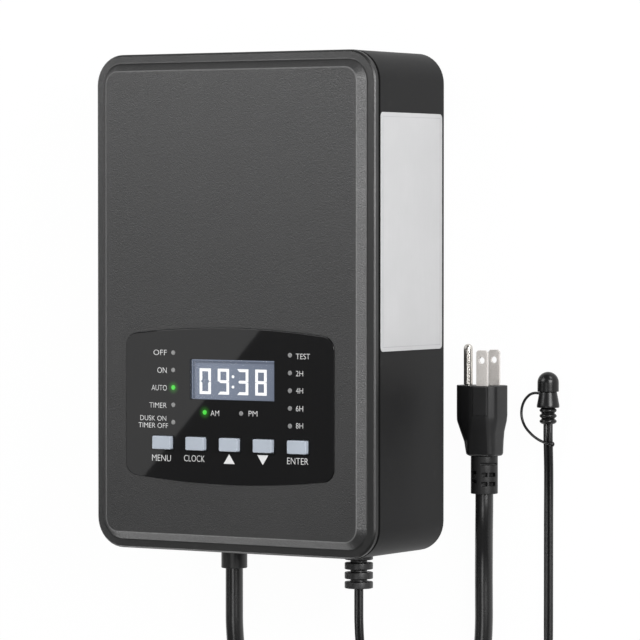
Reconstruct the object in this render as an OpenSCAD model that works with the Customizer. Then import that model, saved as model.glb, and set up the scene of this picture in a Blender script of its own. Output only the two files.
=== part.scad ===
// Low voltage landscape transformer: a sealed wall box with a toroidal transformer and a timer
// inside, five keys and a display in front, a mains cord with its plug, and a photocell on a
// thin twin cord. The box lies on its back: X runs across it, Y points to its top end and Z
// points out of its front. The origin is the middle of the face that goes against the wall.

/* [Case] */
// Width across the case
case_w = 172.5; // [166:0.5:220]
// Height from the bottom end to the top end
case_h = 260; // [252:1:320]
// Depth from the wall face to the rim of the cover
case_d = 70; // [68:1:84]
// Corner radius seen from the front
corner_r = 16; // [12:1:20]
// Wall thickness of the case
wall = 2.6; // [2:0.1:4]
// Thickness of the back plate
back_t = 3; // [2.4:0.1:5]
// Width of the sealing flange round the open front
flange_w = 6; // [5.5:0.5:8]
// Thickness of the sealing flange
flange_t = 4; // [3:0.5:6]

/* [Cover] */
// Depth of the cover's skirt, from the joint with the case to the rim
skirt_d = 4.8; // [4:0.2:6]
// Width of the flat rim round the raised panel
rim_w = 4.9; // [4.5:0.1:8]
// Width of the slope from the rim up to the panel
bevel_w = 4; // [2:0.2:6]
// Height of the panel above the rim
panel_rise = 4.2; // [3:0.2:6]
// Wall thickness of the cover
cover_t = 2.8; // [2.2:0.1:3.6]
// Softening of the cover's outer edge
edge_soft = 1; // [0.4:0.1:2]

/* [Control fascia] */
// Width of the glossy fascia
fascia_w = 128.8; // [124:0.4:140]
// Height of the fascia in its middle
fascia_h = 81.6; // [78:0.4:90]
// How far its top and bottom edges bulge
fascia_bulge = 3.4; // [1:0.2:5]
// Corner radius of the fascia
fascia_r = 7; // [4:0.5:10]
// Thickness of the fascia
fascia_t = 1.6; // [1.2:0.1:2.4]
// Depth of the pocket that it is glued in
fascia_pocket = 1.2; // [0.6:0.1:1.6]
// Distance from the bottom end of the case to the fascia's middle
fascia_y = 76.4; // [72:0.2:90]

/* [Display, keys and lights] */
// Width of the display window
display_w = 52; // [46:1:56]
// Height of the display window
display_h = 20.6; // [18:0.2:24]
// Height of a digit
digit_h = 13.4; // [11:0.2:15]
// Width of a digit
digit_w = 6.9; // [6:0.1:8.4]
// Width of a key
key_w = 11.5; // [9:0.5:14]
// Height of a key
key_h = 6.9; // [5:0.3:8]
// Distance from the fascia's side to the middle of the nearest key
key_margin = 22.6; // [18:0.2:26]
// How far a key stands out of the fascia
key_proud = 2.4; // [1.6:0.2:3.4]
// Travel of a key
key_travel = 0.8; // [0.4:0.1:1]
// Diameter of an indicator light
light_d = 2.2; // [1.4:0.1:3]
// Distance from light to light in a column
light_pitch = 9.1; // [8:0.1:9.4]

/* [Transformer] */
// Outer diameter of the wound toroid
toroid_d = 116; // [100:1:118]
// Height of the wound toroid
toroid_h = 44; // [38:1:46]
// Diameter of the toroid's hole
toroid_hole = 40; // [34:1:46]
// Thickness of the winding over the core
winding_t = 6; // [4:0.5:8]
// Diameter of the bolt through the toroid
bolt_d = 8; // [6:1:10]

/* [Cords] */
// Outer diameter of the mains cord
mains_d = 9.3; // [8.6:0.1:9.4]
// Width of the flat twin cord
twin_w = 5.2; // [4.8:0.1:5.4]
// Thickness of the flat twin cord
twin_t = 2.6; // [2.2:0.1:2.8]
// Distance from the middle of the box to the mains gland
mains_x = 23.5; // [22:0.5:25]
// Distance from the right side of the case to the photocell cord's relief
sensor_side = 32.35; // [30:0.05:36]
// Height of both cords over the wall face
exit_z = 33; // [30:0.5:36]

/* [Bottom end] */
// Width of the terminal bay
bay_w = 40; // [36:1:42]
// Height of the terminal bay's mouth
bay_h = 30; // [26:1:34]
// Depth of the terminal bay
bay_depth = 24; // [20:1:28]
// Travel of the breaker button
breaker_travel = 3; // [2:0.5:4]
// Diameter of the breaker button
breaker_d = 7; // [6:0.5:9]

/* [Wall mounting] */
// Distance between the two keyholes
keyhole_pitch = 128; // [124:1:130]
// Diameter of a keyhole's wide end
keyhole_d = 9.5; // [8.5:0.5:11]
// Width of a keyhole's slot
keyhole_slot = 5; // [4:0.5:6]

/* [Plug] */
// Width of the plug's body
plug_w = 25.7; // [25:0.1:30]
// Thickness of the plug's body
plug_t = 21; // [20:0.5:24]
// Distance between the two flat blades
blade_gap = 12.7; // [12:0.1:13]
// Diameter of the ground pin
ground_d = 4.75; // [4.5:0.05:5]

/* [Hidden] */

// Fineness of circles, and steps in the quarter turn of a rounded outline
$fn = 48;
arc_steps = 10;
// Overrun of every cut past the face that it opens
overrun = 1;
// Gaps: round a piece that is glued or pressed in place, and round one that slides
seat_gap = 0.1;
slide_gap = 0.35;

// Levels through the box
split_z = case_d - skirt_d;
panel_z = case_d + panel_rise;
cavity_z = panel_z - cover_t;
fascia_z = panel_z - fascia_pocket;
fascia_top = fascia_z + fascia_t;
bottom_y = -case_h / 2;
panel_inset = rim_w + bevel_w;

// Corner screws
post_inset = 13.5;
post_d = 10;
screw_d = 3.8;
screw_hole = 4.4;
screw_head_d = 7;
screw_head_h = 2.8;
head_bore_d = 8;
screw_grip = 14;
screw_bite = 3.6;
pilot_d = 3.9;

// Seal between the case and the cover
seal_inset = 2.6;
seal_w = 2;
seal_d = 1.6;

// Place of the display, keys and lights, from the fascia's middle
display_x = 2.2;
display_y = 13.8;
keys_x = 1.3;
keys_y = -19.7;
key_pitch = (fascia_w - 2 * key_margin) / 4;
lights_left = -34.3;
lights_right = 37.9;
lights_top = 27.4;
clock_light_y = -3.3;
clock_light_left = -14.6;
clock_light_right = 8;
key_flange = 1.2;
key_flange_t = 1.4;
stem_d = 3;
display_glass_t = 1.2;
display_gap = 0.5;
digit_t = 0.3;
stroke = 1.5;
stroke_break = 0.35;
digit_pitch = 11.3;
digit_group = 5.95;
digits_right = -0.25;
digits_down = 0.95;

// Timer board under the cover
board_w = 112;
board_h = 76;
board_t = 1.6;
board_drop = 13.4;
board_z = cavity_z - board_drop;
board_top = board_z + board_t;
board_post_d = 7;
board_margin = 6;
board_post_x = board_w / 2 - board_margin;
board_post_y = board_h / 2 - board_margin;
board_screw_l = 8;
board_screw_d = 2.8;
board_pilot_d = 2.8;
board_head_d = 5.4;
board_head_h = 1.8;
switch_w = 6;
switch_h = 3.6;
plunger_d = 3.2;
relay_size = [29, 13, 15];
chip_size = [10, 10, 1.8];
capacitor_d = 10;
capacitor_h = 16;

// Toroid and what clamps it
toroid_end_gap = 11.4;
toroid_y = case_h / 2 - wall - toroid_end_gap - toroid_d / 2;
pad_t = 2;
toroid_round = 9;
hub_d = 22;
hub_h = 13;
hex_across = 13;
bolt_head_h = 5.3;
bolt_recess = 1;
plate_d = 78;
plate_t = 2;
nut_h = 6.5;
toroid_z = back_t + pad_t;
plate_z = toroid_z + toroid_h + pad_t;
bolt_top = plate_z + plate_t + nut_h + 1.2 * plate_t;

// Glands at the bottom end
gland_d = 13.8;
gland_neck_d = 12.4;
gland_neck = 2;
gland_l = 11.3;
gland_thread_d = 11;
gland_inside = 13;
gland_nut_af = 17;
gland_nut_t = 4;
relief_d = 14.8;
relief_core_d = 8.8;
relief_disc = 3.5;
relief_step = 4.95;
relief_discs = 4;
relief_end = bottom_y - (relief_discs - 1) * relief_step - relief_disc;
sensor_x = case_w / 2 - sensor_side;
relief_thread_d = 9;
relief_inside = 8;
relief_clip_d = 13;
relief_clip_t = 2.5;

// Breaker beside the mains gland, at a share of the case's width from its middle
breaker_share = 0.325;
breaker_x = -breaker_share * case_w;
breaker_cup_d = 18;
breaker_cup = 6;
breaker_neck_d = 12;
breaker_box = [18, 26, 22];
breaker_show = 4.2;
breaker_grip = 10.4;
breaker_reach = breaker_grip + 2 * breaker_travel;

// Terminal bay between the two cords
bay_x = 17;
block_w = 35;
block_t = 10;
block_h = 15;
terminal_pitch = 19;
plate_side = 12;
plate_thick = 1.2;
terminal_screw_d = 4.2;
terminal_head_d = 7.4;
terminal_head_h = 2.2;

// Keyholes in the back plate
keyhole_end = 36;
keyhole_y = case_h / 2 - keyhole_end;
keyhole_run = 9;
pocket_w = 14;
pocket_h = 22;
pocket_d = 6;
pocket_wall = 2;

// Blank rating label on the right side
label_l = 122;
label_end = 0.7;
label_z0 = 3.2;
label_h = split_z - label_end - label_z0;
label_t = 0.25;
label_y = 37.1;
label_z = label_z0 + label_h / 2;

// Plug, lying with its ground pin to the left, from its cord's axis
plug_x = 116.1;
plug_face = -42.2;
plug_z = plug_t / 2;
ground_x = 106.5;
ground_offset = 11.9;
ground_l = 21.3;
blade_w = 6.35;
blade_t = 1.5;
blade_l = 18.3;
blade_hole_d = 3.5;
blade_hole_in = 5.2;
prong_root = 8;
pin_root_d = 3.8;
pin_clear = 0.3;
plug_l = 36.4;
plug_straight = 15.6;
plug_lean = 2.35;
plug_left = -plug_w / 2 - plug_lean;
plug_right = plug_w / 2 - plug_lean;
plug_waist = 7.8;
plug_waist_t = 14;
plug_step = 0.9;
plug_nose = 3;
plug_shoulder = 6.5;
plug_shoulder_in = 3.2;
plug_flat = [-4, 7];
plug_relief_d = 14;
plug_relief_l = 19.5;
relief_slot = 1.3;
relief_slot_pitch = 3.9;
relief_slot_depth = 1.8;
relief_slots = 4;

// Photocell on the end of the twin cord
cell_x = 151.1;
cell_z = 6;
cell_top = -34.6;
dome_d = 11;
dome_l = 10.2;
dome_t = 1.2;
collar_l = 8.2;
collar_top_d = 9;
collar_d = 11.6;
collar_rim = 1.2;
cell_ribs = 3;
cell_rib_d = 8.8;
cell_core_d = 6.4;
cell_rib_pitch = 2.8;
photocell_d = 5.2;
photocell_t = 2.4;
strap_d = 1.4;
bead_d = 3;

// Coils
turn_gap = 0.7;
mains_pitch = mains_d + turn_gap;
mains_turns = 3.5;
mains_coil_r = 60;
mains_coil_at = [37, -257];
twin_pitch = twin_t + turn_gap;
twin_turns = 3.75;
twin_coil_r = 31;
twin_coil_at = [180, -242];
coil_lift = 1.3;
layer_gap = 0.6;
tie_t = 0.8;
tie_w = 9;
tie_gap = 0.3;
rings_per_turn = 24;
mains_low = coil_lift + mains_d / 2;
mains_high = mains_low + mains_d + layer_gap;
twin_low = coil_lift + twin_w / 2;
twin_high = twin_low + twin_w + layer_gap;

// Routes of the free cords, point by point
mains_lead_route = [
    [-mains_x, bottom_y - gland_l, exit_z], [-mains_x, -151, exit_z], [-mains_x, -161, exit_z],
    [-mains_x, -172, 32.8],
    [-23.4, -186, 31], [-23.2, -200, 26.8], [-23.1, -214, 21.3], [-23, -227, 17.2],
    [-23, -238, 15.85], [-23, -247.7, 15.85]
];
mains_tail_route = [
    [97, -247.7, 5.95], [97, -238, 5.95], [98, -226, 5.6], [101, -214, 5], [105, -202, 4.8],
    [109.2, -190, 4.8], [111.9, -178, 4.8], [112.7, -166, 4.8], [112.7, -153, 4.8],
    [112.7, -141, 4.9], [113.2, -130, 5.7], [114.3, -121, 7.6], [115.5, -113, 9.6],
    [116.1, -105.5, 10.5], [116.1, -98.1, 10.5]
];
twin_lead_route = [
    [sensor_x, relief_end, exit_z], [sensor_x, -157, exit_z], [sensor_x, -166, 32.9],
    [sensor_x, -176, 32], [54, -186, 30],
    [55.8, -194, 27.6], [60.5, -201.5, 24.8], [67.5, -207.2, 21.8], [74.5, -210.1, 19.2],
    [83, -211, 16.8], [92, -211, 15], [101, -211, 14], [111, -211, 13.5], [121, -211, 12.6],
    [131, -211, 11.3], [142, -211, 10.2], [153, -211, 9.7], [164, -211, 9.7], [174.8, -211, 9.7]
];
twin_tail_route = [
    [149, -236.8, 3.9], [149, -226, 3.9], [149, -215, 3.4], [149, -204, 2.7], [149, -193, 2],
    [149, -182, 1.6], [149, -170, 1.5], [149, -158, 1.5], [149, -146, 1.5], [149, -134, 1.5],
    [149, -122, 1.5], [149, -110, 1.5], [149.2, -98, 1.8], [149.9, -86, 3.1],
    [150.7, -76, 4.9], [151.1, -68.5, 6], [151.1, -61.4, 6]
];
strap_route = [
    [146.3, -45.8, 6], [143.1, -45.7, 6], [140.1, -46.8, 6], [137.3, -49.7, 6], [135.7, -53.7, 6],
    [135.7, -58.2, 6.1], [137.7, -62.8, 6.4], [141.5, -66.6, 6.9], [146.1, -69.4, 7.5],
    [150.6, -71, 7.8], [154.1, -71.6, 7.6]
];

// Outline of a rounded rectangle, point by point round its four corners
function rounded_points(w, h, r) = [
    for (q = [0:3]) for (i = [0:arc_steps])
        let (a = 90 * (q + i / arc_steps), m = 90 * q + 45)
        [(w / 2 - r) * sign(cos(m)) + r * cos(a), (h / 2 - r) * sign(sin(m)) + r * sin(a)]
];

// A rounded plate from one level to another
module rounded_slab(w, h, r, z0, z1) {
    translate([0, 0, z0])
        linear_extrude(z1 - z0) polygon(rounded_points(w, h, r));
}

// The case's own outline, drawn in by an inset
module case_slab(inset, z0, z1) {
    rounded_slab(case_w - 2 * inset, case_h - 2 * inset, max(corner_r - inset, edge_soft), z0, z1);
}

// Right half of the barrel-shaped fascia outline, from its lower to its upper end
function barrel_half(w, h, bulge, r) = let (
        a = w / 2 - r,
        b = h / 2 - bulge - r,
        tilt = atan(2 * bulge / a),
        x1 = a + r * sin(tilt)
    ) concat(
        [for (i = [-arc_steps:-1]) let (x = x1 * (1 + i / arc_steps))
            [x, -(b + r * cos(tilt) + bulge * (1 - pow(x / x1, 2)))]],
        [for (i = [0:arc_steps]) let (t = (tilt - 90) + (90 - tilt) * i / arc_steps)
            [a + r * cos(t), -b + r * sin(t)]],
        [for (i = [0:arc_steps]) let (t = (90 - tilt) * i / arc_steps)
            [a + r * cos(t), b + r * sin(t)]],
        [for (i = [arc_steps - 1:-1:0]) let (x = x1 * i / arc_steps)
            [x, b + r * cos(tilt) + bulge * (1 - pow(x / x1, 2))]]
    );

// The whole outline: the right half, then its mirror image
function barrel_points(w, h, bulge, r) = let (half = barrel_half(w, h, bulge, r), n = len(half)) concat(
        half, [for (i = [n - 2:-1:1]) [-half[i][0], half[i][1]]]
    );

// Children placed at each corner post
module at_posts() {
    for (sx = [-1, 1], sy = [-1, 1])
        translate([sx * (case_w / 2 - post_inset), sy * (case_h / 2 - post_inset), 0]) children();
}

// Children placed at the fascia's middle
module at_fascia() {
    translate([0, bottom_y + fascia_y, 0]) children();
}

// Children placed at one key
module at_key(i) {
    at_fascia() translate([keys_x + (i - 2) * key_pitch, keys_y, 0]) children();
}

// Children placed at each of the unlit lights, or at each of the lit ones
light_places = concat(
    [for (i = [0:4]) [lights_left, lights_top - i * light_pitch, i == 2 ? 1 : 0]],
    [for (i = [0:4]) [lights_right, lights_top - i * light_pitch, 0]],
    [[clock_light_left, clock_light_y, 1], [clock_light_right, clock_light_y, 0]]
);
module at_lights(lit) {
    at_fascia() for (p = light_places) if (p[2] == lit) translate([p[0], p[1], 0]) children();
}

// Children placed at each board post
module at_board_posts() {
    at_fascia() for (sx = [-1, 1], sy = [-1, 1])
        translate([sx * board_post_x, sy * board_post_y, 0]) children();
}

// A cylinder along -Y from the outer end, from y0 in towards the middle of the box
module end_rod(d, y0, l) {
    translate([0, y0 + l, 0]) rotate([90, 0, 0]) cylinder(d = d, h = l);
}

// A box given by its middle, its size and the level that it stands on
module block(size, z0) {
    translate([-size[0] / 2, -size[1] / 2, z0]) cube(size);
}

// Cup walls inside the case that keep the water out
module keyhole_pockets(grow, z0, z1) {
    for (sx = [-1, 1])
        translate([sx * keyhole_pitch / 2, keyhole_y + keyhole_run / 2, z0])
            linear_extrude(z1 - z0) square([pocket_w + 2 * grow, pocket_h + 2 * grow], center = true);
}

module keyhole_cuts() {
    for (sx = [-1, 1]) translate([sx * keyhole_pitch / 2, keyhole_y, -overrun]) {
        cylinder(d = keyhole_d, h = back_t + 2 * overrun);
        translate([-keyhole_slot / 2, 0, 0]) cube([keyhole_slot, keyhole_run, back_t + 2 * overrun]);
        translate([0, keyhole_run, 0]) cylinder(d = keyhole_slot, h = back_t + 2 * overrun);
    }
}

module bay(grow, y0, l) {
    translate([bay_x - bay_w / 2 - grow, y0, exit_z - bay_h / 2 - grow])
        cube([bay_w + 2 * grow, l, bay_h + 2 * grow]);
}

module rear_case() {
    color("#26282a") difference() {
        union() {
            difference() {
                case_slab(0, 0, split_z);
                case_slab(wall, back_t, split_z - flange_t);
                case_slab(flange_w, back_t, split_z + overrun);
            }
            intersection() {
                at_posts() cylinder(d = post_d, h = split_z);
                case_slab(wall / 2, 0, split_z);
            }
            translate([0, toroid_y, 0]) cylinder(d = hub_d, h = hub_h);
            keyhole_pockets(pocket_wall, back_t - overrun, back_t + pocket_d + pocket_wall);
            bay(wall, bottom_y + wall / 2, bay_depth - wall / 2);
            translate([breaker_x, 0, exit_z])
                end_rod(breaker_cup_d + 2 * wall, bottom_y + wall / 2, breaker_cup - wall / 2);
        }
        difference() {
            case_slab(seal_inset, split_z - seal_d, split_z + overrun);
            case_slab(seal_inset + seal_w, split_z - seal_d - overrun, split_z + 2 * overrun);
        }
        at_posts() {
            translate([0, 0, -overrun]) cylinder(d = screw_hole, h = split_z + 2 * overrun);
            translate([0, 0, -overrun]) cylinder(d = head_bore_d, h = split_z - screw_grip + overrun);
        }
        translate([0, toroid_y, -overrun]) {
            cylinder(d = bolt_d + 2 * seat_gap, h = hub_h + 2 * overrun);
            cylinder(
                d = (hex_across + 2 * seat_gap) / cos(30), h = bolt_head_h + bolt_recess + overrun, $fn = 6
            );
        }
        keyhole_pockets(0, back_t, back_t + pocket_d);
        keyhole_cuts();
        bay(0, bottom_y - overrun, bay_depth - wall + overrun);
        translate([breaker_x, 0, exit_z]) {
            end_rod(breaker_cup_d, bottom_y - overrun, breaker_cup - wall + overrun);
            end_rod(breaker_neck_d + 2 * seat_gap, bottom_y - overrun, breaker_cup + wall + overrun);
        }
        translate([-mains_x, 0, exit_z])
            end_rod(gland_thread_d + 2 * seat_gap, bottom_y - overrun, wall + 2 * overrun);
        translate([sensor_x, 0, exit_z])
            end_rod(relief_thread_d + 2 * seat_gap, bottom_y - overrun, wall + 2 * overrun);
    }
}

// Cover: skirt and rim, the raised panel, and the posts under it
module front_cover() {
    color("#3c3c3c") difference() {
        union() {
            difference() {
                union() {
                    hull() {
                        case_slab(0, split_z, case_d - edge_soft);
                        case_slab(edge_soft, case_d - edge_soft, case_d);
                    }
                    hull() {
                        case_slab(rim_w, case_d - edge_soft, case_d);
                        case_slab(panel_inset, case_d, panel_z);
                    }
                }
                case_slab(flange_w, split_z - overrun, case_d - cover_t);
                case_slab(panel_inset, split_z - overrun, cavity_z);
            }
            intersection() {
                at_posts() translate([0, 0, split_z]) cylinder(d = post_d, h = cavity_z - split_z + overrun);
                case_slab(flange_w / 2, split_z, cavity_z + overrun);
            }
            at_board_posts() translate([0, 0, board_top])
                cylinder(d = board_post_d, h = cavity_z - board_top + overrun);
        }
        at_fascia() translate([0, 0, fascia_z])
            linear_extrude(fascia_t)
                polygon(barrel_points(
                    fascia_w + 2 * seat_gap, fascia_h + 2 * seat_gap, fascia_bulge, fascia_r
                ));
        at_posts() translate([0, 0, split_z - overrun])
            cylinder(d = pilot_d, h = screw_bite + overrun + seat_gap);
        at_board_posts() translate([0, 0, board_top - overrun])
            cylinder(d = board_pilot_d, h = board_screw_l - board_t + overrun + seat_gap);
        front_openings(cavity_z - overrun, cover_t + overrun);
    }
}

// Openings for the display, the keys and the lights, through the cover or the fascia
module front_openings(z0, h) {
    translate([0, 0, z0]) {
        at_fascia() translate([display_x, display_y, h / 2])
            cube([display_w + 2 * seat_gap, display_h + 2 * seat_gap, h], center = true);
        for (i = [0:4]) at_key(i) translate([0, 0, h / 2])
            cube([key_w + 2 * slide_gap, key_h + 2 * slide_gap, h], center = true);
        for (lit = [0, 1]) at_lights(lit) cylinder(d = light_d + 2 * seat_gap, h = h, $fn = 24);
    }
}

module cover_gasket() {
    color("#151515") difference() {
        case_slab(seal_inset + seat_gap, split_z - seal_d, split_z);
        case_slab(seal_inset + seal_w - seat_gap, split_z - seal_d - overrun, split_z + overrun);
    }
}

module cover_screws() {
    color("#b8bcc0") at_posts() {
        translate([0, 0, split_z - screw_grip]) cylinder(d = screw_d, h = screw_grip + screw_bite);
        difference() {
            translate([0, 0, split_z - screw_grip - screw_head_h])
                cylinder(d = screw_head_d, h = screw_head_h);
            for (a = [0, 90]) rotate(a)
                block(
                    [screw_d, screw_head_h / 3, screw_head_h / 2],
                    split_z - screw_grip - screw_head_h - overrun / 2
                );
        }
    }
}

module rating_label() {
    color("#c9cbcd")
        translate([case_w / 2, label_y, label_z]) rotate([90, 0, 90])
            rounded_slab(label_l, label_h, edge_soft, 0, label_t);
}

module control_fascia() {
    color("#1c1c1e") difference() {
        at_fascia() translate([0, 0, fascia_z])
            linear_extrude(fascia_t) polygon(barrel_points(fascia_w, fascia_h, fascia_bulge, fascia_r));
        front_openings(fascia_z - overrun, fascia_t + 2 * overrun);
    }
}

// Children placed at the display's middle
module at_display() {
    at_fascia() translate([display_x, display_y, 0]) children();
}

glass_z = fascia_top - display_glass_t;
face_z = glass_z - display_gap;
module display_window() {
    color("#9fb0c4", 0.5) at_display() block([display_w, display_h, display_glass_t], glass_z);
}

// One stroke of a digit, lying along X, with its ends cut to points
module digit_stroke(l) {
    linear_extrude(digit_t) polygon([
        [-l / 2, 0], [-l / 2 + stroke / 2, stroke / 2], [l / 2 - stroke / 2, stroke / 2],
        [l / 2, 0], [l / 2 - stroke / 2, -stroke / 2], [-l / 2 + stroke / 2, -stroke / 2]
    ]);
}

// Seven strokes of a digit: three across, then upper and lower on the left and the right
module digit(strokes) {
    across = digit_w - stroke - stroke_break;
    upright = (digit_h - stroke) / 2 - stroke_break;
    half = (digit_h - stroke) / 2;
    side = (digit_w - stroke) / 2;
    for (i = [0:2]) if (strokes[i] == 1) translate([0, (1 - i) * half, 0]) digit_stroke(across);
    for (i = [0:3]) if (strokes[3 + i] == 1)
        translate([(i < 2 ? -1 : 1) * side, (i % 2 == 0 ? 1 : -1) * half / 2, 0])
            rotate(90) digit_stroke(upright);
}

// Strokes that are on for each figure of the clock: nought, nine, three and eight
clock_figures = [
    [1, 0, 1, 1, 1, 1, 1], [1, 1, 1, 1, 0, 1, 1], [1, 1, 1, 0, 0, 1, 1], [1, 1, 1, 1, 1, 1, 1]
];
module display_digits() {
    color("#f4f6f8") at_display() translate([digits_right, -digits_down, face_z]) {
        for (i = [0:3])
            translate([(i < 2 ? -1 : 1) * digit_group + (i - (i < 2 ? 1 : 2)) * digit_pitch, 0, 0])
                digit(clock_figures[i]);
        for (s = [-1, 1]) translate([0, s * digit_h / 5, 0]) cylinder(d = stroke, h = digit_t, $fn = 24);
    }
}

module display_module() {
    color("#5f6d80") at_display()
        block([display_w + 2 * cover_t, display_h + 2 * cover_t, cavity_z - board_top], board_top);
    color("#5f6d80") at_display()
        block(
            [display_w - 2 * seat_gap, display_h - 2 * seat_gap, face_z - cavity_z + overrun],
            cavity_z - overrun
        );
}

// Cap that shows, flange that holds it under the cover, and stem down to its switch
module key_piece(i) {
    stem_end = board_top + switch_h + key_travel + slide_gap;
    at_key(i) color("#b0b9c2") union() {
        block([key_w, key_h, fascia_top + key_proud - cavity_z + slide_gap], cavity_z - slide_gap);
        block(
            [key_w + 2 * key_flange, key_h + 2 * key_flange, key_flange_t],
            cavity_z - slide_gap - key_flange_t
        );
        translate([0, 0, stem_end]) cylinder(d = stem_d, h = cavity_z - slide_gap - stem_end);
    }
}

// Plunger of a switch, which the stem above presses into its housing
module plunger(i) {
    color("#e8e4da") at_key(i) translate([0, 0, board_top + switch_h - key_travel])
        cylinder(d = plunger_d, h = 2 * key_travel + slide_gap);
}

module key_menu() { key_piece(0); }
module key_clock() { key_piece(1); }
module key_up() { key_piece(2); }
module key_down() { key_piece(3); }
module key_enter() { key_piece(4); }
module plunger_menu() { plunger(0); }
module plunger_clock() { plunger(1); }
module plunger_up() { plunger(2); }
module plunger_down() { plunger(3); }
module plunger_enter() { plunger(4); }

module tact_switches() {
    color("#404448") for (i = [0:4]) at_key(i) difference() {
        block([switch_w, switch_w, switch_h], board_top);
        translate([0, 0, board_top + switch_h - 2 * key_travel - slide_gap])
            cylinder(d = plunger_d + slide_gap, h = 2 * key_travel + slide_gap + overrun);
    }
}

module indicator_lights_off() {
    color("#8a8c8e") at_lights(0) translate([0, 0, board_top])
        cylinder(d = light_d, h = fascia_top - board_top, $fn = 24);
}

module indicator_lights_on() {
    color("#33dd44") at_lights(1) translate([0, 0, board_top])
        cylinder(d = light_d, h = fascia_top - board_top, $fn = 24);
}

module timer_board() {
    color("#1f5a38") at_fascia() difference() {
        block([board_w, board_h, board_t], board_z);
        for (sx = [-1, 1], sy = [-1, 1]) translate([sx * board_post_x, sy * board_post_y, board_z - overrun])
            cylinder(d = board_screw_d + 2 * seat_gap, h = board_t + 2 * overrun);
    }
}

module board_screws() {
    color("#b8bcc0") at_board_posts() {
        translate([0, 0, board_z]) cylinder(d = board_screw_d, h = board_screw_l);
        translate([0, 0, board_z - board_head_h]) cylinder(d = board_head_d, h = board_head_h);
    }
}

module power_relay() {
    color("#2454a0") at_fascia() translate([-board_w / 4, -board_h / 5, 0])
        block(relay_size, board_z - relay_size[2]);
}

module capacitors() {
    color("#303a60") at_fascia() for (s = [0, 1])
        translate([board_w / 5 + s * 1.3 * capacitor_d, -board_h / 5, board_z - capacitor_h])
            cylinder(d = capacitor_d, h = capacitor_h);
}

module microcontroller() {
    color("#202020") at_fascia() translate([board_w / 10, board_h / 5, 0])
        block(chip_size, board_z - chip_size[2]);
}

// Half section of a ring with rounded edges, for a turn about the Z axis
function ring_section(r_in, r_out, z0, z1, r) = let (
        w = r_out - r_in,
        h = z1 - z0
    ) [for (p = rounded_points(w, h, r)) [p[0] + (r_in + r_out) / 2, p[1] + (z0 + z1) / 2]];

core_in = toroid_hole / 2 + winding_t;
core_out = toroid_d / 2 - winding_t;
module toroid_core() {
    color("#8f9498") translate([0, toroid_y, 0]) rotate_extrude($fn = 96)
        translate([core_in, toroid_z + winding_t]) square([core_out - core_in, toroid_h - 2 * winding_t]);
}

module toroid_winding() {
    color("#b5762a") translate([0, toroid_y, 0]) rotate_extrude($fn = 96) difference() {
        polygon(ring_section(toroid_hole / 2, toroid_d / 2, toroid_z, toroid_z + toroid_h, toroid_round));
        translate([core_in, toroid_z + winding_t]) square([core_out - core_in, toroid_h - 2 * winding_t]);
    }
}

// A flat ring on the toroid's axis
module toroid_ring(d_out, d_in, z0, t) {
    translate([0, toroid_y, z0]) difference() {
        cylinder(d = d_out, h = t);
        translate([0, 0, -overrun]) cylinder(d = d_in, h = t + 2 * overrun);
    }
}

module toroid_pad_lower() {
    color("#101010") toroid_ring(toroid_d - toroid_round, toroid_hole, back_t, pad_t);
}

module toroid_pad_upper() {
    color("#101010") toroid_ring(plate_d, toroid_hole, toroid_z + toroid_h, pad_t);
}

module toroid_clamp_plate() {
    color("#aeb4b8") toroid_ring(plate_d, bolt_d + 2 * seat_gap, plate_z, plate_t);
}

module toroid_bolt() {
    color("#b8bcc0") translate([0, toroid_y, 0]) {
        translate([0, 0, bolt_recess]) cylinder(d = hex_across / cos(30), h = bolt_head_h, $fn = 6);
        translate([0, 0, bolt_recess]) cylinder(d = bolt_d, h = bolt_top - bolt_recess);
    }
}

module toroid_nut() {
    color("#b8bcc0") translate([0, toroid_y, plate_z + plate_t]) difference() {
        cylinder(d = hex_across / cos(30), h = nut_h, $fn = 6);
        translate([0, 0, -overrun]) cylinder(d = bolt_d + 2 * seat_gap, h = nut_h + 2 * overrun);
    }
}

// Gland: shoulder outside the wall, thread through it, and its nut inside
module mains_gland() {
    color("#1b1b1c") translate([-mains_x, 0, exit_z]) {
        end_rod(gland_d, bottom_y - gland_l, gland_l - gland_neck);
        end_rod(gland_neck_d, bottom_y - gland_neck - overrun, gland_neck + overrun);
        end_rod(gland_thread_d, bottom_y - overrun, gland_inside + overrun);
    }
}

module mains_gland_nut() {
    color("#232324") translate([-mains_x, bottom_y + wall + gland_nut_t, exit_z])
        rotate([90, 0, 0]) difference() {
            cylinder(d = gland_nut_af / cos(30), h = gland_nut_t, $fn = 6);
            translate([0, 0, -overrun])
                cylinder(d = gland_thread_d + 2 * seat_gap, h = gland_nut_t + 2 * overrun);
        }
}

module sensor_strain_relief() {
    color("#1e1e1f") translate([sensor_x, 0, exit_z]) {
        end_rod(relief_core_d, relief_end + relief_disc / 2, bottom_y - relief_end);
        end_rod(relief_thread_d, bottom_y - overrun, relief_inside + overrun);
        for (i = [0:relief_discs - 1])
            end_rod(
                relief_d, relief_end + i * relief_step, i < relief_discs - 1 ? relief_disc : relief_disc / 1.4
            );
        end_rod(relief_d, bottom_y - relief_disc / 2, relief_disc / 2);
    }
}

module sensor_relief_clip() {
    color("#b8bcc0") translate([sensor_x, bottom_y + wall + relief_clip_t, exit_z])
        rotate([90, 0, 0]) difference() {
            cylinder(d = relief_clip_d, h = relief_clip_t);
            translate([0, 0, -overrun])
                cylinder(d = relief_thread_d + 2 * seat_gap, h = relief_clip_t + 2 * overrun);
        }
}

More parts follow.
